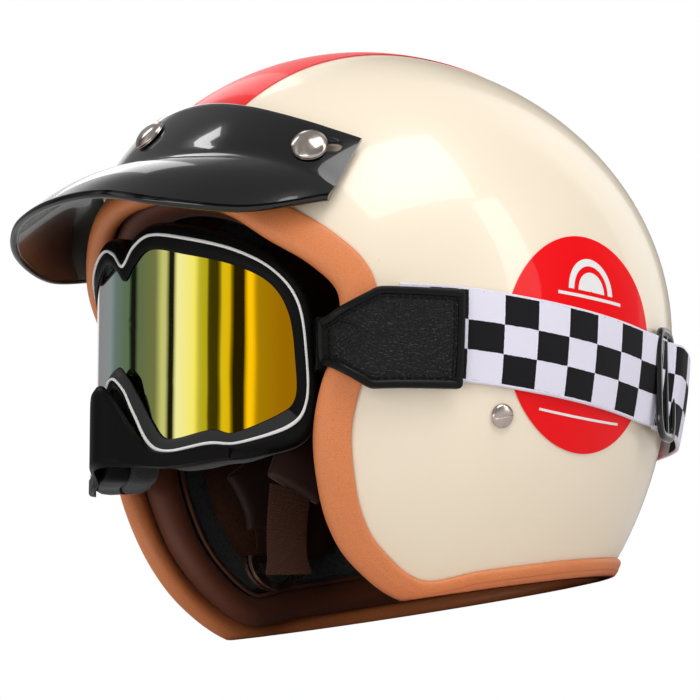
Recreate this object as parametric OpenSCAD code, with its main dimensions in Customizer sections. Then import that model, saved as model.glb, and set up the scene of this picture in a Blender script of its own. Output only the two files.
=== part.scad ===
// Open face motorcycle helmet with a snap-on peak and a pair of strap-on goggles.
// Everything is laid out as worn, around the centre of the dome: +X is the wearer's
// left, -Y the front, +Z up.  The last step tips it back onto its flat rim, so that
// the rim rests on z = 0 with the origin under the centre of the dome.

/* [Shell] */
// Half width of the outer shell
half_w = 121; // [118:1:124]
// Centre of the dome to the front of the shell
front_r = 134; // [131:1:137]
// Centre of the dome to the back of the shell
rear_r = 146; // [143:1:150]
// Centre of the dome to the crown
top_r = 125; // [122:1:128]
// Semi-axis of the part of the shell below the centre of the dome
low_r = 178; // [175:1:182]
// Thickness of the shell's wall
shell_t = 3.5; // [3:0.5:4]
// Pitch of the flat rim against the level of the eyes, in degrees
rim_tilt = 10.75; // [10:0.25:11.5]
// Height of the centre of the dome above the surface that the rim rests on
rim_h = 129.3; // [127:0.1:132]

/* [Lining] */
// Thickness of the expanded foam liner
foam_t = 22; // [18:1:23]
// Thickness of the crown's comfort lining
comfort_t = 7.5; // [5:0.5:9]
// Thickness of the cheek pads
cheek_t = 23; // [18:1:25]
// Thickness of the neck roll
neck_t = 15; // [11:1:17]

/* [Peak] */
// Thickness of the peak's moulding
peak_t = 2.4; // [2:0.2:2.8]
// Height of the peak's outer face above the shell
peak_stand = 6; // [5.8:0.2:6.6]
// Diameter of the snap caps
cap_d = 16; // [14:1:17]

/* [Goggles] */
// Radius of the cylinder that the frame's front follows
lens_r = 96; // [94:1:98]
// Front of the frame, measured from the centre of the dome
lens_front = 125; // [124:1:127]
// Thickness of the lens
lens_t = 2; // [1.6:0.2:2.4]
// Depth of the foam that touches the face
face_foam_t = 13; // [10:1:14]

/* [Straps] */
// Width of the goggles' elastic strap
strap_w = 41; // [38:1:43]
// Thickness of the elastic strap
strap_t = 1.6; // [1.4:0.1:1.8]
// Width of the chin strap's webbing
web_w = 21; // [18:1:23]

/* [Graphics] */
// Width of the stripe over the crown
stripe_w = 78; // [60:1:84]
// Diameter of the round side decals
decal_d = 100; // [80:1:104]

/* [Hidden] */
gap = 0.3;            // clearance between neighbours
low_keep = 0.4;       // share of an inward offset that is kept below the dome's centre
pole = [0, sin(29), cos(29)];
edge_gap = 2.4;       // shell's edge above the surface that the rim rests on
rows = 12;            // rows of facets from the crown to the edge
foam_out = -shell_t - 1.4;
foam_in = -(shell_t + gap) - foam_t;
pad_out = foam_in - 3;
stud = [[48, 54], [0, 71], [-48, 54]];  // direction from the front and height of each snap
rivet = [88.2, -59];                    // direction from the front and height of the screws
decal_at = [107, -23];
slider_at = 132;
slider_pivot = [-24, 13];
mesh_n = 24;          // sides of small turned parts

// --- vectors and curves -------------------------------------------------------------
function unit(v) = v / norm(v);
function mirror_x(p) = [-p.x, p.y, p.z];
function blend(a, b, t) = a + (b - a) * t;
function ramp(v, lo, hi) = max(0, min(1, (v - lo) / (hi - lo)));
function cat(a, b, c, d, t) = 0.5 * (2 * b + (c - a) * t + (2 * a - 5 * b + 4 * c - d) * t * t
    + (3 * b - a - 3 * c + d) * t * t * t);
function loop_curve(c, k) = let (n = len(c))
    [for (i = [0:n - 1], s = [0:k - 1])
        cat(c[(i + n - 1) % n], c[i], c[(i + 1) % n], c[(i + 2) % n], s / k)];
function open_curve(c, k) = let (n = len(c), at = function (i) c[max(0, min(n - 1, i))])
    [for (i = [0:n - 2], s = [0:(i == n - 2 ? k : k - 1)])
        cat(at(i - 1), at(i), at(i + 1), at(i + 2), s / k)];
function whole_loop(half) = concat(half, [for (i = [len(half) - 2:-1:1]) mirror_x(half[i])]);

// --- the dome: two half ellipsoids front and back, taller below than above ------------
function semi(d, off) = [half_w + off, (d.y < 0 ? front_r : rear_r) + off,
    d.z > 0 ? top_r + off : low_r + off * (off < 0 ? low_keep : 1)];
function skin(d, off) = let (s = semi(d, off)) [d.x * s.x, d.y * s.y, d.z * s.z];
function dir_of(p) = unit([p.x / half_w, p.y / (p.y < 0 ? front_r : rear_r),
    p.z / (p.z > 0 ? top_r : low_r)]);
function normal_at(p) = unit([p.x / pow(half_w, 2), p.y / pow(p.y < 0 ? front_r : rear_r, 2),
    p.z / pow(p.z > 0 ? top_r : low_r, 2)]);
// a point of the dome by its direction a, in degrees from the front, and its height z
function around(a, z, off = 0) = let (y_r = (cos(a) > 0 ? front_r : rear_r) + off,
    z_r = z > 0 ? top_r + off : low_r + off * (off < 0 ? low_keep : 1), c = sqrt(1 - pow(z / z_r, 2)))
    [(half_w + off) * c * sin(a), -y_r * c * cos(a), z];
function arc(a, b, t) = let (w = acos(a * b)) (sin((1 - t) * w) * a + sin(t * w) * b) / sin(w);

// --- the edge of the shell --------------------------------------------------------------
function rim_z(y) = -rim_h / cos(rim_tilt) + tan(rim_tilt) * y;
function rim_point(y) = let (z = rim_z(y) + edge_gap)
    [half_w * sqrt(max(0, 1 - pow(y / (y < 0 ? front_r : rear_r), 2) - pow(z / low_r, 2))), y, z];
face_edge = [[0, -127, 47], [32, -122, 44], [60, -111, 34], [80, -101, 20], [95, -87, 7],
    [103, -76, -8], [102, -75, -30], [94, -79, -52], [88, -79, -71], [83, -74, -90],
    [79, -66, -108], [77, -53, -123]];
rim_edge = [for (y = [-26, 4, 34, 60, 84, 102, 113]) rim_point(y)];
edge = [for (p = loop_curve(whole_loop(concat(face_edge, rim_edge, [[0, 117.5, -106]])), 2)) dir_of(p)];
stations = len(edge);
function wrap(i) = (i + stations) % stations;
edge_p = [for (d = edge) skin(d, 0)];
edge_out = [for (i = [0:stations - 1])
    let (t = edge_p[wrap(i + 1)] - edge_p[wrap(i - 1)]) unit(cross(t, normal_at(edge_p[i])))];
// a point near edge station i: a beyond the edge (negative is up the shell), b off the shell
function by_edge(i, a, b) = skin(dir_of(edge_p[wrap(i)] + a * edge_out[wrap(i)]), b);
function on_floor(p) = [p.x, p.y, max(p.z, rim_z(p.y))];
// a ring of the dome at share t of the way from the pole to a line `inset` inside the edge
function row_at(i, inset, t, off) =
    skin(arc(pole, dir_of(edge_p[wrap(i)] - inset * edge_out[wrap(i)]), t), off);

// --- solids from grids of points ----------------------------------------------------------
function quad(a, b, c, d) = [[a, b, c], [a, c, d]];
function volume_sign(p, f) = [for (t = f) p[t[0]] * cross(p[t[1]], p[t[2]])] * [for (t = f) 1];
module solid(p, f) {
    polyhedron(p, volume_sign(p, f) > 0 ? [for (t = f) [t[2], t[1], t[0]]] : f, convexity = 8);
}
// closed slab between two grids of the same size
module slab(g0, g1) {
    n = len(g0);
    m = len(g0[0]);
    o = function (i, j) i * m + j;
    g = function (i, j) n * m + i * m + j;
    solid([for (r = g0) each r, for (r = g1) each r], concat(
        [for (i = [0:n - 2], j = [0:m - 2]) each concat(
            quad(o(i, j), o(i, j + 1), o(i + 1, j + 1), o(i + 1, j)),
            quad(g(i, j), g(i + 1, j), g(i + 1, j + 1), g(i, j + 1)))],
        [for (i = [0:n - 2]) each concat(
            quad(o(i, 0), o(i + 1, 0), g(i + 1, 0), g(i, 0)),
            quad(o(i + 1, m - 1), o(i, m - 1), g(i, m - 1), g(i + 1, m - 1)))],
        [for (j = [0:m - 2]) each concat(
            quad(o(0, j + 1), o(0, j), g(0, j), g(0, j + 1)),
            quad(o(n - 1, j), o(n - 1, j + 1), g(n - 1, j + 1), g(n - 1, j)))]));
}
// closed bowl between two stacks of rings that start at a pole
module bowl(p0, p1, r0, r1) {
    m = len(r0);
    n = len(r0[0]);
    o = function (j, i) 2 + j * n + i % n;
    g = function (j, i) 2 + m * n + j * n + i % n;
    solid(concat([p0, p1], [for (r = r0) each r], [for (r = r1) each r]), concat(
        [for (i = [0:n - 1]) each [[0, o(0, i), o(0, i + 1)], [1, g(0, i + 1), g(0, i)]]],
        [for (j = [0:m - 2], i = [0:n - 1]) each concat(
            quad(o(j, i), o(j + 1, i), o(j + 1, i + 1), o(j, i + 1)),
            quad(g(j, i), g(j, i + 1), g(j + 1, i + 1), g(j + 1, i)))],
        [for (i = [0:n - 1]) each quad(o(m - 1, i + 1), o(m - 1, i), g(m - 1, i), g(m - 1, i + 1))]));
}
// swept tube through a list of sections
module tube(s, closed = false) {
    n = len(s);
    q = len(s[0]);
    v = function (k, i) (k % n) * q + i % q;
    solid([for (r = s) each r], concat(
        [for (k = [0:(closed ? n - 1 : n - 2)], i = [0:q - 1])
            each quad(v(k, i), v(k + 1, i), v(k + 1, i + 1), v(k, i + 1))],
        closed ? [] : [for (i = [1:q - 2]) each
            [[v(0, 0), v(0, i), v(0, i + 1)], [v(n - 1, 0), v(n - 1, i + 1), v(n - 1, i)]]]));
}

// --- placing -----------------------------------------------------------------------------
module standing() {
    translate([0, 0, rim_h])
        rotate([-rim_tilt, 0, 0])
            children();
}
module facing(p, n) {
    translate(p)
        rotate([0, acos(n.z), atan2(n.y, n.x)])
            children();
}
// local +Z points out of the dome at direction a and height z
module on_dome(a, z, off = 0) {
    p = around(a, z, 0);
    n = normal_at(p);
    facing(p + off * n, n) children();
}
module both_sides() {
    children();
    mirror([1, 0, 0]) children();
}
module lining(from, to, inset, t0, t1, out, deep, steps) {
    grid = function (off) [for (i = [from:to])
        [for (j = [0:steps]) row_at(i, inset, blend(t0, t1, j / steps), off)]];
    slab(grid(out), grid(deep));
}

// --- shell and lining -----------------------------------------------------------------------
module outer_shell() {
    ring = function (off) [for (j = [1:rows]) [for (i = [0:stations - 1]) row_at(i, 0, j / rows, off)]];
    color([0.93, 0.89, 0.79])
        standing()
            difference() {
                bowl(skin(pole, 0), skin(pole, -shell_t), ring(0), ring(-shell_t));
                for (s = stud)
                    on_dome(s[0], s[1], -8) cylinder(h = 12, d = 5, $fn = mesh_n);
                for (side = [-1, 1])
                    on_dome(side * rivet[0], rivet[1], -8) cylinder(h = 12, d = 6, $fn = mesh_n);
            }
}

// slot for the chin strap's webbing, from the screw inwards
module strap_run(side, w, t, from = 0, to = 1) {
    a = around(rivet[0], rivet[1], -6) + [0, -4, 0];
    b = [61, -37, -52];
    n = unit(b - a);
    for (m = side > 0 ? [0] : [1])
        mirror([m, 0, 0])
            facing(a + (b - a) * from, n)
                rotate([0, 0, 90])
                    translate([-t / 2, -w / 2, 0])
                        cube([t, w, norm(b - a) * (to - from)]);
}
module anchor_pocket(side) {
    on_dome(side * rivet[0], rivet[1], -shell_t - 9) cylinder(h = 10, d = 36, $fn = mesh_n);
    on_dome(side * rivet[0], rivet[1], -shell_t - 12) cylinder(h = 10, d = 12, $fn = mesh_n);
}

module eps_liner() {
    ring = function (off) [for (j = [1:8]) [for (i = [0:2:stations - 1]) row_at(i, 17, j / 8, off)]];
    color([0.16, 0.16, 0.17])
        standing()
            difference() {
                bowl(skin(pole, foam_out), skin(pole, foam_in), ring(foam_out), ring(foam_in));
                for (s = stud)
                    on_dome(s[0], s[1], -shell_t - 4) cylinder(h = 8, d = 14, $fn = mesh_n);
                for (side = [-1, 1]) {
                    anchor_pocket(side);
                    strap_run(side, web_w + 2, 5, 0.02, 1.2);
                }
            }
}

module crown_liner() {
    ring = function (off) [for (j = [1:6]) [for (i = [0:2:stations - 1]) row_at(i, 17, 0.62 * j / 6, off)]];
    color([0.17, 0.10, 0.07])
        standing()
            bowl(skin(pole, pad_out), skin(pole, pad_out - comfort_t), ring(pad_out), ring(pad_out - comfort_t));
}

module brow_pad() {
    color([0.28, 0.15, 0.09])
        standing()
            lining(-8, 8, 17, 0.645, 0.99, pad_out, pad_out - comfort_t - 1.5, 4);
}

module cheek_pad(side) {
    color([0.20, 0.11, 0.07])
        standing()
            difference() {
                lining(side > 0 ? 9 : -28, side > 0 ? 28 : -9, 17, 0.645, 0.99, pad_out, pad_out - cheek_t, 5);
                strap_run(side, web_w + 2, 5, 0.02, 1.2);
            }
}
module cheek_pad_left() {
    cheek_pad(1);
}
module cheek_pad_right() {
    cheek_pad(-1);
}

module neck_roll() {
    color([0.24, 0.13, 0.08])
        standing()
            lining(29, 47, 17, 0.645, 0.99, pad_out, pad_out - neck_t, 4);
}

module edge_trim() {
    leg = function (i) 12 - 5 * ramp(edge_p[i].y, -75, -15) - 4 * ramp(edge_p[i].z, 30, 42);
    color([0.80, 0.43, 0.22])
        standing()
            tube([for (i = [0:stations - 1])
                [for (s = [[-leg(i), gap], [-leg(i), 1.7], [1.4 - leg(i), 2.6], [-3, 3.1], [1.4, 2.6],
                    [4, 0.6], [5, -2.4], [4.4, -5.6], [1.6, -8], [-4, -8.2], [-9, -7.6],
                    [-9, -shell_t - 1.9], [gap, -shell_t - 1.9], [gap, gap]])
                    on_floor(by_edge(i, s[0], s[1]))]], true);
}

module edge_roll() {
    color([0.42, 0.22, 0.14])
        standing()
            tube([for (i = [0:stations - 1])
                let (forward = 1.9 * ramp(edge_p[i].z, -118, -100))
                    [for (a = [0:36:359]) by_edge(i, -7.2 + forward + 8.2 * cos(a), -17.3 + 8.4 * sin(a))]], true);
}

// --- fittings of the shell --------------------------------------------------------------------
module snap_studs() {
    color([0.70, 0.70, 0.70])
        standing()
            for (s = stud)
                on_dome(s[0], s[1])
                    rotate_extrude($fn = mesh_n)
                        polygon([[0, -6], [5.5, -6], [5.5, -shell_t - 0.9], [2.2, -shell_t - 0.9], [2.2, 0.5],
                            [5.5, 0.5], [5.5, 1.1], [2.6, 1.4], [3, 2.2], [2.4, 2.7], [0, 2.8]]);
}

module chin_screws() {
    color([0.72, 0.71, 0.66])
        standing()
            for (side = [-1, 1])
                on_dome(side * rivet[0], rivet[1])
                    difference() {
                        rotate_extrude($fn = 32)
                            polygon([[0, -11], [2.7, -11], [2.7, 0.5], [5.3, 0.5], [5.3, 1.3], [4.4, 2.1],
                                [2.2, 2.5], [0, 2.6]]);
                        rotate([0, 0, 15]) translate([-0.6, -6, 1.6]) cube([1.2, 12, 3]);
                    }
}

module anchor_plates() {
    color([0.55, 0.56, 0.58])
        standing()
            for (side = [-1, 1])
                on_dome(side * rivet[0], rivet[1], -shell_t)
                    difference() {
                        union() {
                            translate([0, 0, -3.4]) cylinder(h = 1.6, d = 30, $fn = 40);
                            translate([0, 0, -7.2]) cylinder(h = 4.8, d = 9, $fn = mesh_n);
                        }
                        translate([0, 0, -9]) cylinder(h = 12, d = 5.6, $fn = mesh_n);
                    }
}

module strap_roots() {
    color([0.24, 0.14, 0.09])
        standing()
            for (side = [-1, 1])
                strap_run(side, web_w, 1.8, 0.24, 0.84);
}

module crown_stripe() {
    grid = function (off) [for (a = [42:7:203])
        [for (x = [-stripe_w / 2, -stripe_w / 4, 0, stripe_w / 4, stripe_w / 2])
            let (s = x / half_w, c = sqrt(1 - s * s)) skin([s, -c * cos(a), c * sin(a)], off)]];
    color([0.80, 0.03, 0.05])
        standing()
            slab(grid(1.4), grid(0.9));
}

module side_decals() {
    mid = around(decal_at[0], decal_at[1]);
    n = normal_at(mid);
    u = unit([n.y, -n.x, 0]);
    v = cross(n, u);
    at = function (r, a, off) skin(dir_of(mid + r * (cos(a) * u + sin(a) * v)), off);
    ring = function (off) [for (r = [1:3]) [for (a = [0:10:359]) at(decal_d / 6 * r, a, off)]];
    color([0.80, 0.03, 0.05])
        standing()
            both_sides()
                bowl(at(0, 0, 0.8), at(0, 0, 0.4), ring(0.8), ring(0.4));
}

// --- peak ---------------------------------------------------------------------------------------
band_top = [[0, -105, 87], [35, -100, 84], [66, -89, 74.5], [86, -76, 66], [96, -65, 60]];
crease = [[0, -124, 57], [35, -119, 57], [66, -106, 54], [86, -91, 47], [99, -80, 37]];
brim_edge = [[0, -167, 38], [38, -162, 36], [66, -147, 29], [88, -118, 25], [101, -84, 32]];
function peak_line(half, k) =
    open_curve(concat([for (i = [len(half) - 1:-1:1]) mirror_x(half[i])], half), k);
peak_grid = let (k = 4, top = peak_line(band_top, k), mid = peak_line(crease, k), tip = peak_line(brim_edge, k),
        n = len(top))
    [for (i = [0:n - 1]) let (s = i / (n - 1) * 2 - 1, bulge = 5 * (1 - s * s)) concat(
        [for (j = [0:4]) skin(dir_of(blend(top[i], mid[i], j / 5)), peak_stand)],
        [for (j = [0:7]) blend(mid[i], tip[i], j / 7) + [0, 0, bulge * sin(180 * j / 7)]])];
function grid_normal(g, i, j) = let (n = len(g), m = len(g[0]),
    a = g[min(n - 1, i + 1)][j] - g[max(0, i - 1)][j], b = g[i][min(m - 1, j + 1)] - g[i][max(0, j - 1)])
    unit(cross(b, a));
module peak() {
    under = [for (i = [0:len(peak_grid) - 1]) [for (j = [0:len(peak_grid[0]) - 1])
        peak_grid[i][j] - peak_t * grid_normal(peak_grid, i, j)]];
    color([0.03, 0.03, 0.035])
        standing()
            difference() {
                slab(peak_grid, under);
                for (s = stud)
                    on_dome(s[0], s[1]) cylinder(h = 14, d = 8, $fn = mesh_n);
                for (side = [-1, 1])
                    on_dome(side * stud[0][0], stud[0][1])
                        rotate([0, 0, side > 0 ? 90 : -90]) translate([side > 0 ? 0 : -11, -3, 0]) cube([11, 6, 14]);
            }
}
module snap_caps() {
    color([0.75, 0.74, 0.72])
        standing()
            for (s = stud)
                on_dome(s[0], s[1])
                    rotate_extrude($fn = 32)
                        polygon([[0, 3.3], [3.7, 3.3], [3.7, peak_stand + 0.6], [cap_d / 2, peak_stand + 0.6],
                            [cap_d / 2, peak_stand + 1.4], [cap_d / 2 - 1.2, peak_stand + 2.8],
                            [cap_d / 2 - 4, peak_stand + 4], [0, peak_stand + 4.6]]);
}

// --- goggles: outlines as [angle, height] on the frame's cylinder -------------------------------
function on_lens(a, z, out = 0) =
    [(lens_r + out) * sin(a), lens_r - lens_front - (lens_r + out) * cos(a), z];
// each row: edge of the lens opening, then outer edge of the frame
goggle_half = [[0, 7, 0, 20], [4.7, 13, 5.6, 28], [11.2, 18, 13.1, 30], [23.3, 13, 25.2, 26], [37.1, 6, 38.9, 18],
    [46.8, -3, 49.3, 7], [51.8, -17, 56.6, -8], [53.5, -38, 59.1, -33], [53.5, -54, 59.1, -58], [49.3, -61, 54.6, -72],
    [38, -68, 40.6, -77.5], [31.6, -66, 30.7, -78], [18.7, -68, 19.6, -79], [13.1, -60, 11.2, -77],
    [8.4, -47, 6.6, -62], [4.7, -37, 3.7, -49], [0, -32, 0, -43]];
goggle_loop = loop_curve(concat(goggle_half,
    [for (i = [len(goggle_half) - 2:-1:1]) let (g = goggle_half[i]) [-g[0], g[1], -g[2], g[3]]]), 2);
// share s runs from the lens opening (0) to the frame's outer edge (1)
// and the frame stands forward over the nose
function rim_at(g, s, out) = let (a = blend(g[0], g[2], s), z = blend(g[1], g[3], s))
    on_lens(a, z, out + 5 * pow(cos(min(90, abs(a) * 7)), 2) * ramp(-z, 26, 38));

module goggle_frame() {
    color([0.05, 0.05, 0.055])
        standing()
            tube([for (g = goggle_loop)
                [for (s = [[0, 2.8], [0.1, 3.5], [0.5, 3.9], [0.85, 2.8], [1, 0], [1, -9], [0.35, -9], [0.35, -1.2],
                    [0.32, 2.5], [0, 2.5]]) rim_at(g, s[0], s[1])]], true);
}
module goggle_lens() {
    mid = [0, -12];
    lens_out = 2.2;
    at = function (g, t, out) let (e = [blend(g[0], g[2], 0.22), blend(g[1], g[3], 0.22)])
        on_lens(blend(mid[0], e[0], t), blend(mid[1], e[1], t), out);
    ring = function (out) [for (t = [0.25:0.25:1]) [for (g = goggle_loop) at(g, t, out)]];
    color([0.75, 0.68, 0.20])
        standing()
            bowl(on_lens(mid[0], mid[1], lens_out), on_lens(mid[0], mid[1], lens_out - lens_t), ring(lens_out),
                ring(lens_out - lens_t));
}
module frame_piping() {
    color([0.92, 0.92, 0.90])
        standing()
            tube([for (g = goggle_loop)
                [for (s = [[0.46, 3.7], [0.49, 4.6], [0.53, 4.6], [0.56, 3.7]]) rim_at(g, s[0], s[1])]], true);
}
// thinner at the lower corners, where the chin strap passes behind it
module face_foam() {
    color([0.06, 0.06, 0.06])
        standing()
            tube([for (g = goggle_loop)
                let (deep = face_foam_t * (1 - 0.68 * ramp(-g[1], 30, 50) * ramp(abs(g[0]), 34, 42)))
                    [for (s = [[0.95, -9.4], [1, -9.3 - deep * 0.6], [0.85, -9.3 - deep], [0.5, -9.3 - deep],
                        [0.38, -9.3 - deep * 0.6], [0.4, -9.4]]) rim_at(g, s[0], s[1])]], true);
}
// wedge in front of the nose, thin at its two ends
module nose_guard() {
    top_line = [[0, -39.5], [4.1, -45], [7.3, -57], [11.9, -71], [19.3, -75.3], [31, -74.2], [37, -75]];
    bottom = function (a) -78 - 3 * ramp(abs(a), 4, 18) + 1.5 * ramp(abs(a), 24, 37);
    swell = function (a) 5.2 + 12 * exp(-pow(a / 10, 2));
    grid = function (d) [for (a = [-37:3.7:37.01]) [for (j = [0:4])
        on_lens(a, blend(lookup(abs(a), top_line), bottom(a), j / 4), swell(a) - d)]];
    color([0.04, 0.04, 0.045])
        standing()
            slab(grid(0), grid(2.4));
}
tab_e = [50.5, 52.3, 55, 57.7, 60.3, 62, 66, 72, 78];
tab_off = [-3, 3, 7.5, 8.4, 8.1, 7.9, 7.4, 6.6, 6];
tab_top = [-21.5, -21, -17.5, -14.1, -10.7, -8.7, -8.4, -8.2, -8];
tab_bot = [-41.5, -41.9, -45.3, -48.7, -52, -52, -51.5, -50.9, -50.3];
module strap_tab(side) {
    grid = function (d) [for (k = [0:len(tab_e) - 1]) [for (j = [0:4])
        let (z = blend(tab_top[k], tab_bot[k], j / 4), p = around(tab_e[k], z, tab_off[k] - d))
        side > 0 ? p : mirror_x(p)]];
    color([0.05, 0.05, 0.05])
        standing()
            slab(grid(0), grid(2.4));
}
module strap_tab_left() {
    strap_tab(1);
}
module strap_tab_right() {
    strap_tab(-1);
}
module outriggers() {
    color([0.04, 0.04, 0.04])
        standing()
            both_sides()
                translate([81, -80.3, -43])
                    rotate([0, 0, -20])
                        difference() {
                            cube([11, 4, 23]);
                            translate([3, -1, 2]) cube([5, 6, 19]);
                        }
}

// --- elastic strap --------------------------------------------------------------------------------
function strap_z(a) = -26 - 0.1 * min(75, max(0, a - 78));
function strap_edge(a, s) = strap_z(a) + s * strap_w / 2;
module strap_piece(from, to, step, off) {
    grid = function (o) [for (a = [from:step:to])
        [for (s = [-1, -0.5, 0, 0.5, 1]) around(a, strap_edge(a > 180 ? 360 - a : a, s), o)]];
    slab(grid(off + strap_t), grid(off));
}
module strap_side_left() {
    color([0.88, 0.87, 0.93]) standing() strap_piece(68, 128, 5, 1.4);
}
module strap_side_right() {
    color([0.88, 0.87, 0.93]) standing() mirror([1, 0, 0]) strap_piece(68, 128, 5, 1.4);
}
module strap_back() {
    color([0.88, 0.87, 0.93]) standing() strap_piece(129, 231, 6, 1.8);
}
module strap_slider() {
    p = around(slider_at, strap_z(slider_at), 0);
    n = unit([p.x - slider_pivot[0], p.y - slider_pivot[1], 0]);
    facing(p + 5.2 * n, n)
        rotate([0, 0, 90])
            difference() {
                translate([-12, -26, 0]) cube([24, 52, 2.6]);
                for (x = [-9.5, 2])
                    translate([x, -22.5, -1]) cube([7.5, 45, 5]);
            }
}
module slider_left() {
    color([0.03, 0.03, 0.03]) standing() strap_slider();
}
module slider_right() {
    color([0.03, 0.03, 0.03]) standing() mirror([1, 0, 0]) strap_slider();
}

// --- rear keeper that holds the strap ------------------------------------------------------------------
module keeper_base() {
    color([0.05, 0.05, 0.05])
        standing()
            on_dome(180, -3)
                translate([-6, -11, 1.6])
                    cube([9, 22, 2]);
}
module keeper_flap() {
    grid = function (off) [for (x = [-10, -5, 0, 5, 10]) [for (z = [-9:-6:-63])
        around(180, z, off + 1.2 * ramp(-z, 9, 15)) + [x, 0, 0]]];
    color([0.05, 0.05, 0.05])
        standing()
            slab(grid(5.6), grid(3.8));
}
module keeper_snap() {
    color([0.72, 0.71, 0.69])
        standing()
            on_dome(180, -59, 7.1)
                rotate_extrude($fn = 32)
                    polygon([[0, 0], [5.5, 0], [5.5, 0.8], [4, 1.9], [0, 2.4]]);
}

// --- chin strap ------------------------------------------------------------------------------------------
function ribbon(path, w, t) = let (n = len(path)) [for (k = [0:n - 1])
    let (d = unit(path[min(n - 1, k + 1)] - path[max(0, k - 1)]), u = unit(cross([1, 0, 0], d)))
    [for (s = [[-1, -0.6], [-0.9, -1], [0.9, -1], [1, -0.6], [1, 0.6], [0.9, 1], [-0.9, 1], [-1, 0.6]])
        path[k] + s[0] * w / 2 * u + [s[1] * t / 2, 0, 0]]];
sleeve_path = open_curve([[50.2, -42, -53], [52.8, -56, -61], [56, -68, -74], [57, -75, -90]], 3);
web_path = open_curve([[57, -76.5, -92], [57, -78, -104], [57, -78, -116], [57, -77, -127]], 3);
module chin_sleeve_left() {
    color([0.22, 0.12, 0.08]) standing() tube(ribbon(sleeve_path, 28, 7));
}
module chin_web_left() {
    color([0.25, 0.14, 0.09]) standing() tube(ribbon(web_path, web_w, 1.8));
}
right_sleeve = open_curve([[-47, -36, -58], [-46.8, -30, -66], [-46.8, -24, -78], [-46.8, -22, -88]], 3);
right_web = [[-46.8, -21.6, -90], [-46.8, -21, -94], [-46.8, -21, -98], [-46.8, -21, -101]];
module chin_sleeve_right() {
    color([0.22, 0.12, 0.08]) standing() tube(ribbon(right_sleeve, 28, 7));
}
module chin_web_right() {
    color([0.25, 0.14, 0.09]) standing() tube(ribbon(right_web, web_w, 1.8));
}
module d_rings() {
    color([0.75, 0.75, 0.74])
        standing()
            for (x = [-49, -44.6])
                translate([x, -21, -102])
                    rotate([0, 90, 0])
                        difference() {
                            intersection() {
                                cylinder(h = 2.6, d = 30, center = true, $fn = 40);
                                translate([0, -16, -2]) cube([16, 32, 4]);
                            }
                            intersection() {
                                cylinder(h = 4, d = 23, center = true, $fn = 40);
                                translate([3, -12, -3]) cube([16, 24, 6]);
                            }
                        }
}

outer_shell();
eps_liner();
crown_liner();
brow_pad();
cheek_pad_left();
cheek_pad_right();
neck_roll();
edge_trim();
edge_roll();
snap_studs();
chin_screws();
anchor_plates();
strap_roots();
crown_stripe();
side_decals();
peak();
snap_caps();
goggle_frame();
goggle_lens();
frame_piping();
face_foam();
nose_guard();
strap_tab_left();
strap_tab_right();
outriggers();
strap_side_left();
strap_side_right();
strap_back();
slider_left();
slider_right();
keeper_base();
keeper_flap();
keeper_snap();
chin_sleeve_left();
chin_web_left();
chin_sleeve_right();
chin_web_right();
d_rings();
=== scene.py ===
"""Looks of an open face motorcycle helmet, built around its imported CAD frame.

Shapes are worked out in millimetres as the helmet is worn, around the centre of the dome
(+X the wearer's left, -Y the front, +Z up), and to_row() tips them onto the flat rim.
"""

import math

import bmesh
import bpy
import numpy as np
from mathutils import Matrix, Vector


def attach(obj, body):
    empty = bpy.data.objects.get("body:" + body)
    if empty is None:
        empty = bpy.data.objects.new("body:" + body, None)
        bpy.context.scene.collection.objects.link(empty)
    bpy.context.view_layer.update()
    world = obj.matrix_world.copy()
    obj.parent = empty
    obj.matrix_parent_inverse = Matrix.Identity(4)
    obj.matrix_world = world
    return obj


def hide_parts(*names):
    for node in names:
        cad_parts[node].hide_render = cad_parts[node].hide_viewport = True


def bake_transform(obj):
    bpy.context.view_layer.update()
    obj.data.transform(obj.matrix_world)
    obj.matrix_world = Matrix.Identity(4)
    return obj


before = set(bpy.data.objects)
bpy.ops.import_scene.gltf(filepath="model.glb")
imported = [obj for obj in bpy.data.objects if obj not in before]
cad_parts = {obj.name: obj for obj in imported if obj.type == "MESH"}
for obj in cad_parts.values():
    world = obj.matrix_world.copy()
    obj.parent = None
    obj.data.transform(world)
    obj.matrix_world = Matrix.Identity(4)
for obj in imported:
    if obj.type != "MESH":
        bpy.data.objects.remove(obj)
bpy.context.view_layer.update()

# ---------------------------------------------------------------- sizes, as in the CAD
TILT = math.radians(10.75)
RIM_H = 129.3
HALF_W, FRONT_R, REAR_R, TOP_R, LOW_R = 121.0, 134.0, 146.0, 125.0, 178.0
SHELL_T = 3.5
GAP = 0.3
LOW_KEEP = 0.4
FOAM_IN = -(SHELL_T + GAP) - 22.0
PAD_OUT = FOAM_IN - 3.0
COMFORT_T, CHEEK_T, NECK_T = 7.5, 23.0, 15.0
EDGE_GAP = 2.4
POLE = np.array([0.0, math.sin(math.radians(29)), math.cos(math.radians(29))])
STUDS = [(48, 54), (0, 71), (-48, 54)]
SCREW = (88.2, -59.0)
DECAL_AT, DECAL_D = (107.0, -23.0), 100.0
STRIPE_W = 78.0
FILM_TOP, FILM_BACK = 0.45, 0.15
PAD_INSET, PAD_FROM, PAD_TO = 17, 0.645, 0.99
SIDES = ((1, "left"), (-1, "right"))
PEAK_T, PEAK_STAND, CAP_D = 2.4, 6.0, 16.0
LENS_R, LENS_FRONT, LENS_T, LENS_OUT = 96.0, 125.0, 2.0, 2.2
FOAM_DEEP = 13.0
STRAP_W, STRAP_T, WEB_W = 41.0, 1.6, 21.0
SLIDER_AT, SLIDER_PIVOT = 132.0, (-24.0, 13.0)
FINE = 10  # points between neighbouring control points of the shell's edge


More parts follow.
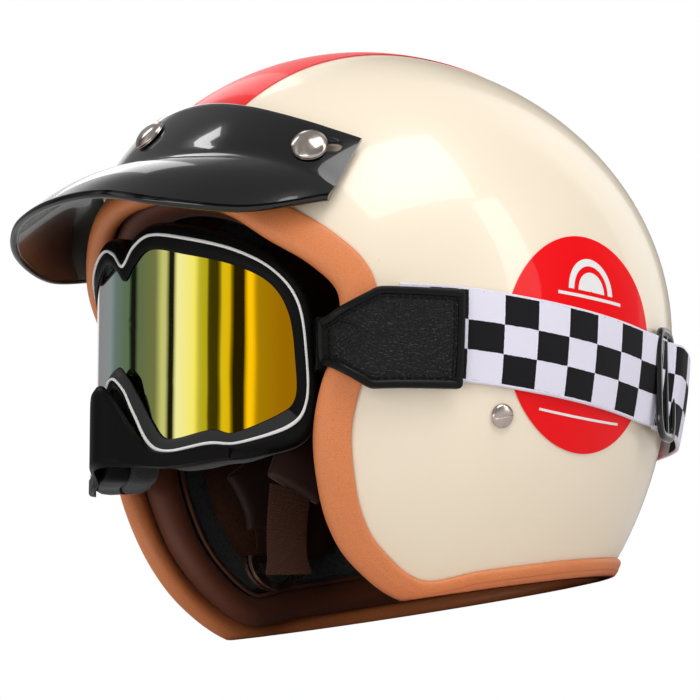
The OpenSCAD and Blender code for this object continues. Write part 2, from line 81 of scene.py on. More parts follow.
# ---------------------------------------------------------------- curves and the dome
def to_row(p):
    """Worn millimetres to the row frame's metres."""
    p = np.asarray(p, float)
    c, s = math.cos(TILT), math.sin(TILT)
    y, z = p[..., 1], p[..., 2]
    return np.stack([p[..., 0], y * c + z * s, -y * s + z * c + RIM_H], -1) / 1000


def unit(v):
    v = np.asarray(v, float)
    return v / np.maximum(np.linalg.norm(v, axis=-1, keepdims=True), 1e-12)


def ramp(v, lo, hi):
    return np.clip((np.asarray(v, float) - lo) / (hi - lo), 0, 1)


def smooth(v, lo, hi):
    t = ramp(v, lo, hi)
    return t * t * (3 - 2 * t)


def catmull(a, b, c, d, t):
    return 0.5 * (2 * b + (c - a) * t + (2 * a - 5 * b + 4 * c - d) * t * t + (3 * b - a - 3 * c + d) * t**3)


def loop_curve(points, k):
    p = np.asarray(points, float)
    n = len(p)
    near = [(p[i - 1], p[i], p[(i + 1) % n], p[(i + 2) % n]) for i in range(n)]
    return np.array([catmull(*four, s / k) for four in near for s in range(k)])


def open_curve(points, k):
    p = np.asarray(points, float)
    n = len(p)

    def at(i):
        return p[max(0, min(n - 1, i))]

    out = [catmull(at(i - 1), at(i), at(i + 1), at(i + 2), s / k) for i in range(n - 1) for s in range(k)]
    return np.array(out + [p[-1]])


def mirror_x(p):
    return np.asarray(p, float) * [-1, 1, 1]


def on_side(p, side):
    """A shape of the wearer's left (side 1), or its mirror image on the right (side -1)."""
    return p if side > 0 else mirror_x(p)


def turns(steps):
    return np.linspace(0, 2 * math.pi, steps, endpoint=False)


def length_along(path):
    return np.concatenate([[0], np.cumsum(np.linalg.norm(np.diff(path, axis=0), axis=1))])


def arrays(*values):
    return np.broadcast_arrays(*(np.asarray(v, float) for v in values))


def semi(d, off):
    off = np.broadcast_to(np.asarray(off, float), d.shape[:-1])
    low = LOW_R + off * np.where(off < 0, LOW_KEEP, 1)
    long = np.where(d[..., 1] < 0, FRONT_R, REAR_R) + off
    return np.stack([HALF_W + off, long, np.where(d[..., 2] > 0, TOP_R + off, low)], -1)


def skin(d, off):
    d = np.asarray(d, float)
    return d * semi(d, off)


def dir_of(p):
    p = np.asarray(p, float)
    return unit(p / semi(p, 0))


def normal_at(p):
    p = np.asarray(p, float)
    return unit(p / semi(p, 0) ** 2)


def around(a, z, off=0.0):
    """The point at direction a in degrees from the front and height z."""
    a, z, off = arrays(np.radians(a), z, off)
    y_r = np.where(np.cos(a) > 0, FRONT_R, REAR_R) + off
    z_r = np.where(z > 0, TOP_R + off, LOW_R + off * np.where(off < 0, LOW_KEEP, 1))
    c = np.sqrt(np.maximum(0, 1 - (z / z_r) ** 2))
    return np.stack([(HALF_W + off) * c * np.sin(a), -y_r * c * np.cos(a), z], -1)


def arc(a, b, t):
    w = np.arccos(np.clip((a * b).sum(-1, keepdims=True), -1, 1))
    return (np.sin((1 - t) * w) * a + np.sin(t * w) * b) / np.sin(w)


def rim_z(y):
    return -RIM_H / math.cos(TILT) + math.tan(TILT) * y


def rim_point(y):
    z = rim_z(y) + EDGE_GAP
    y_r = FRONT_R if y < 0 else REAR_R
    return [HALF_W * math.sqrt(max(0, 1 - (y / y_r) ** 2 - (z / LOW_R) ** 2)), y, z]


FACE_EDGE = [
    [0, -127, 47], [32, -122, 44], [60, -111, 34], [80, -101, 20], [95, -87, 7], [103, -76, -8],
    [102, -75, -30], [94, -79, -52], [88, -79, -71], [83, -74, -90], [79, -66, -108], [77, -53, -123],
]  # fmt: skip
RIM_EDGE = [rim_point(y) for y in (-26, 4, 34, 60, 84, 102, 113)]
HALF_EDGE = np.array(FACE_EDGE + RIM_EDGE + [[0, 117.5, -106]], float)
WHOLE_EDGE = np.concatenate([HALF_EDGE, mirror_x(HALF_EDGE[-2:0:-1])])
EDGE_D = dir_of(loop_curve(WHOLE_EDGE, FINE))
EDGE_N = len(EDGE_D)
EDGE_P = skin(EDGE_D, 0)


def edge_outward():
    along = np.roll(EDGE_P, -1, 0) - np.roll(EDGE_P, 1, 0)
    w = unit(np.cross(along, normal_at(EDGE_P)))
    away = EDGE_P[0] - skin(arc(POLE, EDGE_D[:1], 0.95), 0)[0]
    return w if w[0] @ away > 0 else -w


EDGE_OUT = edge_outward()


def by_edge(a, b):
    """Points near the edge: a beyond it in the surface, b off the surface; a and b are (n, m) or (m,)."""
    a, b = arrays(a, b)
    if a.ndim == 1:
        a, b = np.tile(a, (EDGE_N, 1)), np.tile(b, (EDGE_N, 1))
    p = EDGE_P[:, None] + a[..., None] * EDGE_OUT[:, None]
    return skin(dir_of(p), b)


def on_floor(p):
    p = np.array(p)
    p[..., 2] = np.maximum(p[..., 2], rim_z(p[..., 1]))
    return p


def row_at(inset, t, off, pick=None):
    """The ring of the dome at share t of the way from the pole to a line inside the edge."""
    e, o = (EDGE_P, EDGE_OUT) if pick is None else (EDGE_P[pick], EDGE_OUT[pick])
    return skin(arc(POLE, dir_of(e - inset * o), t), off)


# ---------------------------------------------------------------- mesh building
def link(obj):
    bpy.context.scene.collection.objects.link(obj)
    return obj


def mesh_from(name, verts, faces, flow=None, index=None, sharp=38):
    mesh = bpy.data.meshes.new(name)
    mesh.from_pydata([tuple(v) for v in to_row(verts)], [], faces)
    if flow is not None:
        layer = mesh.attributes.new("flow", "FLOAT_VECTOR", "POINT")
        pad = np.zeros((len(flow), 3), np.float32)
        pad[:, : np.asarray(flow).shape[1]] = flow
        layer.data.foreach_set("vector", pad.ravel())
    if index is not None:
        mesh.polygons.foreach_set("material_index", np.asarray(index, np.int32))
    tidy(mesh)
    mesh.polygons.foreach_set("use_smooth", [True] * len(mesh.polygons))
    mesh.set_sharp_from_angle(angle=math.radians(sharp))
    return link(bpy.data.objects.new(name, mesh))


def tidy(mesh):
    b = bmesh.new()
    b.from_mesh(mesh)
    bmesh.ops.recalc_face_normals(b, faces=b.faces)
    b.to_mesh(mesh)
    b.free()
    mesh.update()


def loft_parts(sections, closed=False, base=0, marks=None):
    """Faces of a tube through sections (n, m, 3), with fans over open ends."""
    s = np.asarray(sections, float)
    n, m = s.shape[:2]
    verts = s.reshape(-1, 3)
    faces, index = [], []
    for k in range(n if closed else n - 1):
        a, b = k * m, (k + 1) % n * m
        for i in range(m):
            j = (i + 1) % m
            faces.append((base + a + i, base + a + j, base + b + j, base + b + i))
            index.append(0 if marks is None else marks(k, i))
    if not closed:
        for ring, at in ((0, len(verts)), (n - 1, len(verts) + 1)):
            for i in range(m):
                j = (i + 1) % m
                faces.append((base + ring * m + i, base + ring * m + j, base + at))
                index.append(0 if marks is None else marks(min(ring, n - 2), i))
        verts = np.concatenate([verts, s[:1].mean(1), s[-1:].mean(1)])
    return verts, faces, index


def spread(values, closed):
    """Values on the sections (n, m, k) as one row for each vertex of loft_parts."""
    w = np.asarray(values, float)
    flat = w.reshape(-1, w.shape[-1])
    return flat if closed else np.concatenate([flat, w[:1].mean(1), w[-1:].mean(1)])


def loft(name, sections, closed=False, flow=None, marks=None, sharp=38):
    verts, faces, index = loft_parts(sections, closed, 0, marks)
    flow = None if flow is None else spread(flow, closed)
    return mesh_from(name, verts, faces, flow, index, sharp)


def several(name, lofts):
    """One mesh from several tubes: each is (sections, closed)."""
    verts, faces, base = [], [], 0
    for sections, closed in lofts:
        v, f, _ = loft_parts(sections, closed, base)
        verts.append(v)
        faces += f
        base += len(v)
    return mesh_from(name, np.concatenate(verts), faces)


def frame_on(p, n, up=(0, 0, 1)):
    """Columns side, up and outward of a local frame at p whose third axis is n."""
    n = unit(n)
    side = unit(np.cross(up, n))
    return np.stack([side, np.cross(n, side), n], 1), np.asarray(p, float)


def on_dome(a, z, off=0.0):
    p = around(a, z, 0)
    n = normal_at(p)
    return frame_on(p + off * n, n)


def placed(place, local):
    axes, at = place
    return np.asarray(local, float) @ axes.T + at


def lathe(place, profile, steps=56):
    """Sections of a turned part: profile rows are (radius, height) along the local third axis."""
    a = turns(steps)
    rows = [np.stack([r * np.cos(a), r * np.sin(a), np.full(steps, h)], -1) for r, h in profile]
    return placed(place, np.array(rows))


def rounded_profile(points, k=3):
    """Smooths a turned profile but keeps its ends."""
    return open_curve(np.asarray(points, float), k)


def sweep(path, section, normals, closed=False):
    """Carries a flat section (across, out) along a path with given outward normals."""
    p = np.asarray(path, float)
    if closed:
        t = unit(np.roll(p, -1, 0) - np.roll(p, 1, 0))
    else:
        t = unit(np.gradient(p, axis=0))
    n = unit(normals - (normals * t).sum(-1, keepdims=True) * t)
    side = np.cross(t, n)
    section = np.asarray(section, float)
    if section.ndim == 2:
        section = np.tile(section, (len(p), 1, 1))
    return p[:, None] + section[..., 0:1] * side[:, None] + section[..., 1:2] * n[:, None]


def oval(across, out, steps=12, power=2.0):
    a = turns(steps)
    c, s = (np.sign(v) * np.abs(v) ** (2 / power) for v in (np.cos(a), np.sin(a)))
    return np.stack([across * c, out * s], -1)


def bands(outer, inner, edge=0.5):
    """Sections of a slab between two grids (n, m, 3): down one face and back up the other."""
    mid0, mid1 = (outer[:, :1] + inner[:, :1]) / 2, (outer[:, -1:] + inner[:, -1:]) / 2
    out0 = mid0 + edge * unit(outer[:, :1] - outer[:, 1:2])
    out1 = mid1 + edge * unit(outer[:, -1:] - outer[:, -2:-1])
    return np.concatenate([outer, out1, inner[:, ::-1], out0], 1)


def seat(obj, body, material, slot=None, *nodes):
    """Gives a piece its material and body, and hides the CAD nodes it stands for; slot is not used."""
    for one in material if isinstance(material, (list, tuple)) else [material]:
        obj.data.materials.append(one)
    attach(obj, body)
    if nodes:
        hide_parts(*nodes)
    return obj


# ---------------------------------------------------------------- materials
class Nodes:
    """A small builder of nodes in one tree; inputs go by name, or as i0, i1 and so on."""

    def __init__(self, tree):
        self.tree = tree

    def add(self, kind, props=None, **inputs):
        node = self.tree.nodes.new(kind)
        for key, value in (props or {}).items():
            setattr(node, key, value)
        for key, value in inputs.items():
            numbered = key[0] == "i" and key[1:].isdigit()
            self.plug(node.inputs[int(key[1:]) if numbered else key.replace("_", " ")], value)
        return node

    def plug(self, socket, value):
        if isinstance(value, bpy.types.NodeSocket):
            self.tree.links.new(value, socket)
        else:
            socket.default_value = value

    def math(self, kind, a, b=0.0, c=0.0):
        return self.add("ShaderNodeMath", {"operation": kind}, i0=a, i1=b, i2=c).outputs[0]

    def span(self, value, lo, hi, to_lo=0.0, to_hi=1.0):
        ends = {"From_Min": lo, "From_Max": hi, "To_Min": to_lo, "To_Max": to_hi}
        return self.add("ShaderNodeMapRange", Value=value, **ends).outputs[0]

    def ramp_of(self, value, stops, mode="LINEAR"):
        node = self.add("ShaderNodeValToRGB", Fac=value)
        band = node.color_ramp
        band.interpolation = mode
        while len(band.elements) < len(stops):
            band.elements.new(0.5)
        for element, (at, colour) in zip(band.elements, stops):
            element.position = at
            element.color = colour
        return node.outputs["Color"]


class Sheet(Nodes):
    """A material's principled shader and the textures that feed it."""

    def __init__(self, name):
        self.material = bpy.data.materials.new(name)
        self.material.use_nodes = True
        super().__init__(self.material.node_tree)
        self.shader = self.tree.nodes["Principled BSDF"]
        self.place = self.add("ShaderNodeTexCoord").outputs["Object"]

    def noise(self, scale, detail=3.0, rough=0.5, at=None, stretch=None, distort=0.0):
        where = self.place if at is None else at
        if stretch:
            where = self.add("ShaderNodeMapping", Vector=where, Scale=stretch).outputs[0]
        look = {"Scale": scale, "Detail": detail, "Roughness": rough, "Distortion": distort}
        return self.add("ShaderNodeTexNoise", Vector=where, **look).outputs["Fac"]

    def cells(self, scale, feature="F1", at=None):
        where = self.place if at is None else at
        props = {"feature": feature}
        return self.add("ShaderNodeTexVoronoi", props, Vector=where, Scale=scale).outputs["Distance"]

    def mix(self, factor, a, b):
        node = self.tree.nodes.new("ShaderNodeMix")
        node.data_type = "RGBA"
        self.plug(node.inputs[0], factor)
        self.plug(node.inputs[6], a)
        self.plug(node.inputs[7], b)
        return node.outputs[2]

    def bump(self, height, strength, distance, under=None):
        node = self.add("ShaderNodeBump", Strength=strength, Distance=distance, Height=height)
        if under is not None:
            self.plug(node.inputs["Normal"], under)
        return node.outputs["Normal"]

    def flow(self):
        return self.add("ShaderNodeAttribute", {"attribute_name": "flow"}).outputs["Vector"]

    def set(self, **values):
        for key, value in values.items():
            self.plug(self.shader.inputs[key.replace("_", " ")], value)
        return self.material


def rgb(r, g, b):
    return (r, g, b, 1.0)


def shade(colour, k):
    return rgb(*(min(1.0, c * k) for c in colour[:3]))


def lacquer():
    s = Sheet("cream_lacquer")
    cream = rgb(0.87, 0.755, 0.59)
    patch = s.span(s.noise(9.0, 2.0), 0.3, 0.7)
    colour = s.mix(patch, cream, shade(cream, 1.025))
    peel = s.bump(s.noise(420.0, 2.0), 0.03, 0.00002)
    s.set(Base_Color=colour, Roughness=s.span(patch, 0, 1, 0.30, 0.34), Normal=peel)
    return s.set(Coat_Weight=0.5, Coat_Roughness=0.035)


def film(name, colour):
    s = Sheet(name)
    patch = s.span(s.noise(14.0, 2.0), 0.3, 0.7)
    s.set(Base_Color=s.mix(patch, colour, shade(colour, 0.95)), Roughness=0.4)
    return s.set(Specular_IOR_Level=0.08, Coat_Weight=0.2, Coat_Roughness=0.04)


def hide(name, colour, grain, deep, rough, strength, patch_k, shine=0.5, sheen=0.0):
    """Leather: fine pebbles, soft colour patches and slightly paler high spots."""
    s = Sheet(name)
    warp = s.add("ShaderNodeVectorMath", {"operation": "ADD"}, i0=s.place).outputs[0]
    wobble = s.add("ShaderNodeTexNoise", Vector=s.place, Scale=grain * 0.4, Detail=2.0).outputs["Color"]
    small = s.add("ShaderNodeVectorMath", {"operation": "SCALE"}, i0=wobble, Scale=0.5 / grain).outputs[0]
    s.plug(warp.node.inputs[1], small)
    pebble = s.span(s.cells(grain, "DISTANCE_TO_EDGE", at=warp), 0.0, 0.22)
    patch = s.span(s.noise(32.0, 4.0, 0.6), 0.3, 0.72)
    base = s.mix(patch, shade(colour, patch_k), colour)
    colour_out = s.mix(pebble, shade(colour, patch_k * 0.82), base)
    normal = s.bump(pebble, strength, deep, s.bump(s.noise(240.0, 3.0), 0.25, 0.0002))
    s.set(Base_Color=colour_out, Roughness=s.span(patch, 0, 1, rough + 0.05, rough - 0.04), Normal=normal)
    return s.set(Specular_IOR_Level=shine, Sheen_Weight=sheen, Sheen_Roughness=0.5)


def plush():
    s = Sheet("brown_plush")
    dark, light = rgb(0.024, 0.007, 0.003), rgb(0.085, 0.028, 0.012)
    nap = s.noise(1500.0, 3.0, 0.7)
    drift = s.noise(26.0, 4.0, 0.6, distort=0.8)
    colour = s.mix(s.span(drift, 0.32, 0.7), dark, light)
    colour = s.mix(s.span(nap, 0.35, 0.75), dark, colour)
    normal = s.bump(nap, 0.6, 0.0004, s.bump(drift, 0.4, 0.002))
    s.set(Base_Color=colour, Roughness=0.92, Normal=normal, Specular_IOR_Level=0.2)
    return s.set(Sheen_Weight=0.12, Sheen_Tint=rgb(0.62, 0.32, 0.2))


def metal(name, colour, rough=0.2):
    s = Sheet(name)
    fine = s.noise(700.0, 4.0, 0.65, stretch=(1.0, 1.0, 0.25))
    smudge = s.noise(160.0, 3.0)
    tone = s.mix(s.span(smudge, 0.35, 0.7), shade(colour, 0.82), colour)
    s.set(Base_Color=tone, Metallic=1.0, Normal=s.bump(fine, 0.25, 0.00002))
    return s.set(Roughness=s.span(smudge, 0.3, 0.7, rough + 0.1, rough - 0.05))


def moulding(name, colour, rough, grain=0.15, coat=0.0, coat_rough=0.05, shine=0.2):
    s = Sheet(name)
    fine = s.noise(1800.0, 3.0, 0.6)
    patch = s.span(s.noise(24.0, 3.0), 0.3, 0.7)
    tone = s.mix(patch, shade(colour, 0.85), colour)
    s.set(Base_Color=tone, Roughness=s.span(patch, 0, 1, rough * 1.1, rough * 0.92))
    s.set(Normal=s.bump(fine, grain, 0.00005))
    return s.set(Coat_Weight=coat, Coat_Roughness=coat_rough, Specular_IOR_Level=shine)


def cell_foam(name, colour, scale=1400.0):
    s = Sheet(name)
    cells = s.cells(scale)
    tone = s.mix(s.span(cells, 0.0, 0.5), shade(colour, 0.5), shade(colour, 1.5))
    return s.set(Base_Color=tone, Roughness=0.95, Normal=s.bump(cells, 0.7, 0.0004), Sheen_Weight=0.15)


def checks():
    """Woven elastic: three rows of squares between pale selvedges; flow is (along, across) in mm."""
    s = Sheet("checked_elastic")
    flow = s.flow()
    jag = s.add("ShaderNodeTexNoise", Vector=flow, Scale=1.1, Detail=1.0).outputs["Color"]
    props = {"operation": "MULTIPLY_ADD"}
    jag = s.add("ShaderNodeVectorMath", props, i0=jag, i1=(0.5, 0.7, 0.0), i2=flow).outputs[0]
    axes = s.add("ShaderNodeSeparateXYZ", Vector=jag)
    plain = s.add("ShaderNodeSeparateXYZ", Vector=flow)
    row_h = (STRAP_W - 2.4) / 3
    across = s.math("ADD", axes.outputs[1], STRAP_W / 2 - 1.2 - 0.35)
    col = s.math("FLOOR", s.math("DIVIDE", s.math("ADD", axes.outputs[0], 400.0 + 1.5), 17.5))
    row = s.math("FLOOR", s.math("DIVIDE", across, row_h))
    odd = s.math("MODULO", s.math("ADD", s.math("ADD", col, row), 40.0), 2.0)
    edge = s.math("LESS_THAN", s.math("ABSOLUTE", plain.outputs[1]), STRAP_W / 2 - 1.2)
    black = s.math("MULTIPLY", s.math("LESS_THAN", odd, 0.5), edge)
    rib = s.math("SINE", s.math("MULTIPLY", plain.outputs[1], 2 * math.pi / 0.75))
    weft = s.math("SINE", s.math("MULTIPLY", plain.outputs[0], 2 * math.pi / 0.55))
    weave = s.math("MULTIPLY", rib, weft)
    fuzz = s.add("ShaderNodeTexNoise", Vector=flow, Scale=2.6, Detail=3.0).outputs["Fac"]
    pale = s.mix(s.span(fuzz, 0.35, 0.7), rgb(0.70, 0.67, 0.80), rgb(0.86, 0.84, 0.93))
    ink = s.mix(s.span(fuzz, 0.35, 0.7), rgb(0.004, 0.004, 0.005), rgb(0.014, 0.013, 0.015))
    height = s.math("ADD", weave, s.math("MULTIPLY", fuzz, 1.5))
    normal = s.bump(height, 0.35, 0.00012)
    s.set(Base_Color=s.mix(black, pale, ink), Roughness=0.85, Normal=normal)
    return s.set(Specular_IOR_Level=0.15, Sheen_Weight=0.03)


def webbing():
    s = Sheet("ribbed_webbing")
    axes = s.add("ShaderNodeSeparateXYZ", Vector=s.flow())
    slant = s.math("ADD", axes.outputs[1], axes.outputs[0])
    twill = s.math("SINE", s.math("MULTIPLY", slant, 2 * math.pi / 1.4))
    rib = s.math("SINE", s.math("MULTIPLY", axes.outputs[0], 2 * math.pi / 0.9))
    tone = s.mix(s.span(twill, -1, 1), rgb(0.018, 0.006, 0.003), rgb(0.055, 0.019, 0.009))
    normal = s.bump(s.math("ADD", rib, twill), 0.5, 0.00025)
    return s.set(Base_Color=tone, Roughness=0.8, Normal=normal, Specular_IOR_Level=0.2)


def lens_coating():
    """Coloured mirror: the coating's tint runs across the lens, teal to green to gold to amber; the pale
    lilac-grey stop at the wearer's right end, before the teal, is a painted grazing reflection.
    """
    s = Sheet("mirror_coating")
    axes = s.add("ShaderNodeSeparateXYZ", Vector=s.place)
    share = s.span(axes.outputs[0], -0.025, 0.075)
    # first stop, pale lilac-grey: painted grazing reflection; the other stops are the coating's own colours
    tints_and_painted_grazing = (
        (0.0, 0.88, 0.87, 0.90), (0.12, 0.70, 0.92, 0.88), (0.24, 0.60, 0.92, 0.52),
        (0.38, 0.70, 0.90, 0.34), (0.50, 0.88, 0.89, 0.25), (0.61, 0.92, 0.86, 0.33),
        (0.72, 0.90, 0.76, 0.02), (0.84, 0.91, 0.56, 0.002), (0.93, 0.92, 0.50, 0.002),
        (1.0, 0.85, 0.38, 0.002),
    )  # fmt: skip
    tint = s.ramp_of(share, [(at, rgb(*colour)) for at, *colour in tints_and_painted_grazing])
    ripple = s.bump(s.noise(16.0, 2.0, stretch=(1.0, 1.0, 0.35)), 0.12, 0.004)
    return s.set(Base_Color=tint, Metallic=1.0, Roughness=0.03, Normal=ripple)


CREAM = lacquer()
RED = film("red_film", rgb(0.86, 0.0, 0.003))
WHITE_FILM = film("white_film", rgb(0.82, 0.81, 0.80))
# leathers: grain, its depth in metres, roughness, bump strength, shade of the darker patches
TAN = hide("tan_leather", rgb(0.80, 0.25, 0.082), 1500.0, 0.00004, 0.46, 0.3, 0.93)
SUEDE = hide("brown_leather", rgb(0.175, 0.045, 0.018), 1700.0, 0.00005, 0.55, 0.4, 0.85, sheen=0.08)
SLEEVE = hide("sleeve_leather", rgb(0.030, 0.010, 0.006), 1500.0, 0.00006, 0.6, 0.4, 0.86, 0.3, 0.05)
BLACK_HIDE = hide("pebbled_leather", rgb(0.006, 0.006, 0.006), 520.0, 0.0004, 0.5, 0.9, 0.8, 0.25)
PLUSH = plush()
NICKEL = metal("nickel", rgb(0.60, 0.52, 0.47))
STEEL = metal("zinc_steel", rgb(0.45, 0.45, 0.46), 0.35)
GLOSS = moulding("gloss_black", rgb(0.003, 0.003, 0.0035), 0.16, 0.02, 0.75, 0.02)
SATIN = moulding("satin_black", rgb(0.003, 0.003, 0.0034), 0.42, 0.12, shine=0.1)
CHARCOAL = moulding("charcoal_rubber", rgb(0.026, 0.026, 0.027), 0.55, 0.2)
EDGE_BLACK = moulding("black_rubber", rgb(0.003, 0.003, 0.003), 0.4, 0.1)
THREAD = moulding("black_thread", rgb(0.002, 0.002, 0.002), 0.7, 0.3)
PINSTRIPE = moulding("white_line", rgb(0.82, 0.81, 0.79), 0.3, 0.05, shine=0.5)
FOAM = cell_foam("face_foam", rgb(0.014, 0.014, 0.015))
LINER_FOAM = cell_foam("liner_foam", rgb(0.035, 0.034, 0.036), 420.0)
CHECKS = checks()
WEBBING = webbing()
MIRROR = lens_coating()


# ---------------------------------------------------------------- shell and its graphics
def make_shell():
    rows = [0.004] + [j / 44 for j in range(1, 45)]
    outer = [row_at(0, t, 0) for t in rows]
    inner = [row_at(0, t, -SHELL_T) for t in rows]
    shell = loft("shell", np.array(outer + inner[::-1]), sharp=60)
    seat(shell, "root", CREAM, "shell_cream", "outer_shell")


def make_stripe():
    a = np.radians(np.linspace(42, 203, 120))
    x = np.linspace(-STRIPE_W / 2, STRIPE_W / 2, 33)
    s = x / HALF_W
    c = np.sqrt(1 - s * s)
    back, up = -c[None] * np.cos(a)[:, None], c[None] * np.sin(a)[:, None]
    d = np.stack(np.broadcast_arrays(s[None], back, up), -1)
    film_bands = bands(skin(d, FILM_TOP), skin(d, FILM_BACK), 0.05)
    seat(loft("crown_stripe_film", film_bands), "root", RED, "decal_red", "crown_stripe")


def decal_frame(side):
    mid = around(*DECAL_AT)
    n = normal_at(mid)
    u = unit([n[1], -n[0], 0])
    v = np.cross(n, u)
    if v[2] < 0:
        u, v = -u, -v
    return mid, u, v, side


def on_decal(where, u, v, off):
    mid, au, av, side = where
    p = skin(dir_of(mid + u[..., None] * au + v[..., None] * av), off)
    return on_side(p, side)


def decal_mark(where, u, v):
    return bands(on_decal(where, u, v, 0.65), on_decal(where, u, v, 0.4), 0.05), False


def make_decals():
    discs, marks = [], []
    a = turns(96)
    for side, _ in SIDES:
        where = decal_frame(side)
        r = np.concatenate([[0.5], np.linspace(4, DECAL_D / 2, 12)])
        u, v = r[:, None] * np.cos(a), r[:, None] * np.sin(a)
        top, back = on_decal(where, u, v, FILM_TOP), on_decal(where, u, v, FILM_BACK)
        discs.append((np.concatenate([top, back[::-1]]), False))
        for u0, u1, v0, v1 in ((-21, 21, 20.3, 21.7), (-24, 24, -25.0, -23.8), (-27, 27, -33.6, -32.5)):
            u = np.linspace(u0, u1, 24)[:, None]
            v = np.linspace(v0, v1, 3)[None]
            u, v = np.broadcast_arrays(u, v)
            marks.append(decal_mark(where, u, v))
        t = np.linspace(0, math.pi, 40)
        for r0, r1 in ((0.5, 8.5), (11.4, 14.6)):
            r = np.linspace(r0, r1, 4)[None]
            u, v = r * np.cos(t)[:, None], 23.6 + r * np.sin(t)[:, None] * 1.05
            marks.append(decal_mark(where, u, v))
    seat(several("side_decal_discs", discs), "root", RED, "decal_red", "side_decals")
    seat(several("side_decal_marks", marks), "root", WHITE_FILM)


# ---------------------------------------------------------------- edge trim, roll and pads
def make_trim():
    leg = 12 - 5 * ramp(EDGE_P[:, 1], -75, -15) - 4 * ramp(EDGE_P[:, 2], 30, 42)
    shape = np.array([
        [0, GAP], [0, 1.4], [1.2, 2.5], [5, 2.9], [9, 3.1], [13.4, 2.6], [16, 0.6], [17, -2.4],
        [16.4, -5.6], [13.6, -8], [8, -8.2], [3, -7.6],
    ])  # fmt: skip
    a = np.stack([-leg + x if k < 4 else 0 * leg + x - 12 for k, x in enumerate(shape[:, 0])], 1)
    b = np.tile(shape[:, 1], (EDGE_N, 1))
    tail_a = np.stack([np.full(EDGE_N, v) for v in (-9, 0.2, 0.2)], 1)
    tail_b = np.tile([-SHELL_T - GAP, -SHELL_T - GAP, GAP], (EDGE_N, 1))
    fine_a, fine_b = [], []
    m = a.shape[1]
    for i in range(m - 1):
        for s in range(3):
            pick = [max(0, i - 1), i, i + 1, min(m - 1, i + 2)]
            fine_a.append(catmull(*(a[:, q] for q in pick), s / 3))
            fine_b.append(catmull(*(b[:, q] for q in pick), s / 3))
    a = np.concatenate([np.stack(fine_a + [a[:, -1]], 1), tail_a], 1)
    b = np.concatenate([np.stack(fine_b + [b[:, -1]], 1), tail_b], 1)
    bead = loft("edge_trim_bead", on_floor(by_edge(a, b)), True)
    seat(bead, "root", TAN, "leather_tan", "edge_trim")


def make_roll():
    t = np.radians(np.arange(0, 360, 15))
    forward = 1.9 * ramp(EDGE_P[:, 2:3], -118, -100)
    a = -7.2 + forward + 8.2 * np.cos(t)
    b = -17.3 + 8.4 * np.sin(t) + 0 * forward
    roll = loft("edge_roll_leather", by_edge(a, b), True)
    seat(roll, "root", SUEDE, "leather_brown", "edge_roll")
    t = t[::3]
    welt = by_edge(-12.6 + forward + 1.1 * np.cos(t), -26.4 + 1.1 * np.sin(t) + 0 * forward)
    seat(loft("edge_roll_welt", welt, True), "root", SUEDE, "leather_brown")


def puff(obj, voxel=0.0045, limit=0.0035, pressure=4.0, frames=16):
    """Swells a closed form with cloth under pressure, and caps how far it may move."""
    bpy.context.view_layer.objects.active = obj
    fine = obj.modifiers.new("remesh", "REMESH")
    fine.mode = "VOXEL"
    fine.voxel_size = voxel
    settle(obj)
    start = coords(obj)
    cloth = obj.modifiers.new("cloth", "CLOTH")
    cloth.settings.use_pressure = True
    cloth.settings.uniform_pressure_force = pressure
    cloth.settings.effector_weights.gravity = 0
    cloth.settings.quality = 4
    cloth.point_cache.frame_start = 1
    cloth.point_cache.frame_end = frames
    scene = bpy.context.scene
    for f in range(1, frames + 1):
        scene.frame_set(f)
    settle(obj)
    moved = coords(obj) - start
    far = np.linalg.norm(moved, axis=1, keepdims=True)
    moved *= np.minimum(1, limit / np.maximum(far, 1e-9))
    put_coords(obj, start + moved)
    scene.frame_set(1)
    soften = obj.modifiers.new("soften", "SMOOTH")
    soften.factor = 0.5
    soften.iterations = 6
    sub = obj.modifiers.new("sub", "SUBSURF")
    sub.levels = sub.render_levels = 1
    settle(obj)
    obj.data.polygons.foreach_set("use_smooth", [True] * len(obj.data.polygons))
    return obj


def settle(obj):
    """Replaces the mesh by what its modifiers make of it."""
    graph = bpy.context.evaluated_depsgraph_get()
    made = bpy.data.meshes.new_from_object(obj.evaluated_get(graph), depsgraph=graph)
    obj.modifiers.clear()
    obj.data = made


def coords(obj):
    co = np.zeros(len(obj.data.vertices) * 3)
    obj.data.vertices.foreach_get("co", co)
    return co.reshape(-1, 3)


def put_coords(obj, co):
    obj.data.vertices.foreach_set("co", np.asarray(co, float).ravel())
    obj.data.update()


def pad_form(name, first, last, deep, shrink):
    """A pad between two edge stations of the CAD, smaller than its solid so that it can swell."""
    pick = np.arange(first * 5 + 3, last * 5 - 2) % EDGE_N
    ts = np.linspace(PAD_FROM + 0.012, PAD_TO - 0.012, 22)

    def grid(off):
        return np.stack([row_at(PAD_INSET, t, off, pick) for t in ts], 1)

    across = np.sin(np.linspace(0, math.pi, len(ts))) ** 0.5
    along = np.sin(np.linspace(0, math.pi, len(pick))) ** 0.35
    fall = 1 - 0.42 * (1 - along[:, None] * across[None])
    shallow, deepest = grid(PAD_OUT), grid(PAD_OUT - deep + shrink)
    inside = shallow + (deepest - shallow) * fall[..., None]
    return loft(name, bands(grid(PAD_OUT - 0.6), inside, 0.2))


def pucker(obj):
    """Small gathers where the pad's cover is sewn to the roll."""
    co = coords(obj)
    wave = np.sin(co[:, 2] * 1000 / 5.2) * np.sin(co[:, 1] * 1000 / 4.1)
    edge = np.concatenate([row_at(PAD_INSET, PAD_TO, PAD_OUT - deep) for deep in (8, 16)])
    row_edge = to_row(edge)[None, ::4]
    parts = [co[i : i + 2000, None] for i in range(0, len(co), 2000)]
    near = np.concatenate([np.linalg.norm(part - row_edge, axis=2).min(1) for part in parts])
    pull = unit(co - co.mean(0))
    put_coords(obj, co + pull * (0.0006 * wave * np.clip(1 - near / 0.022, 0, 1))[:, None])


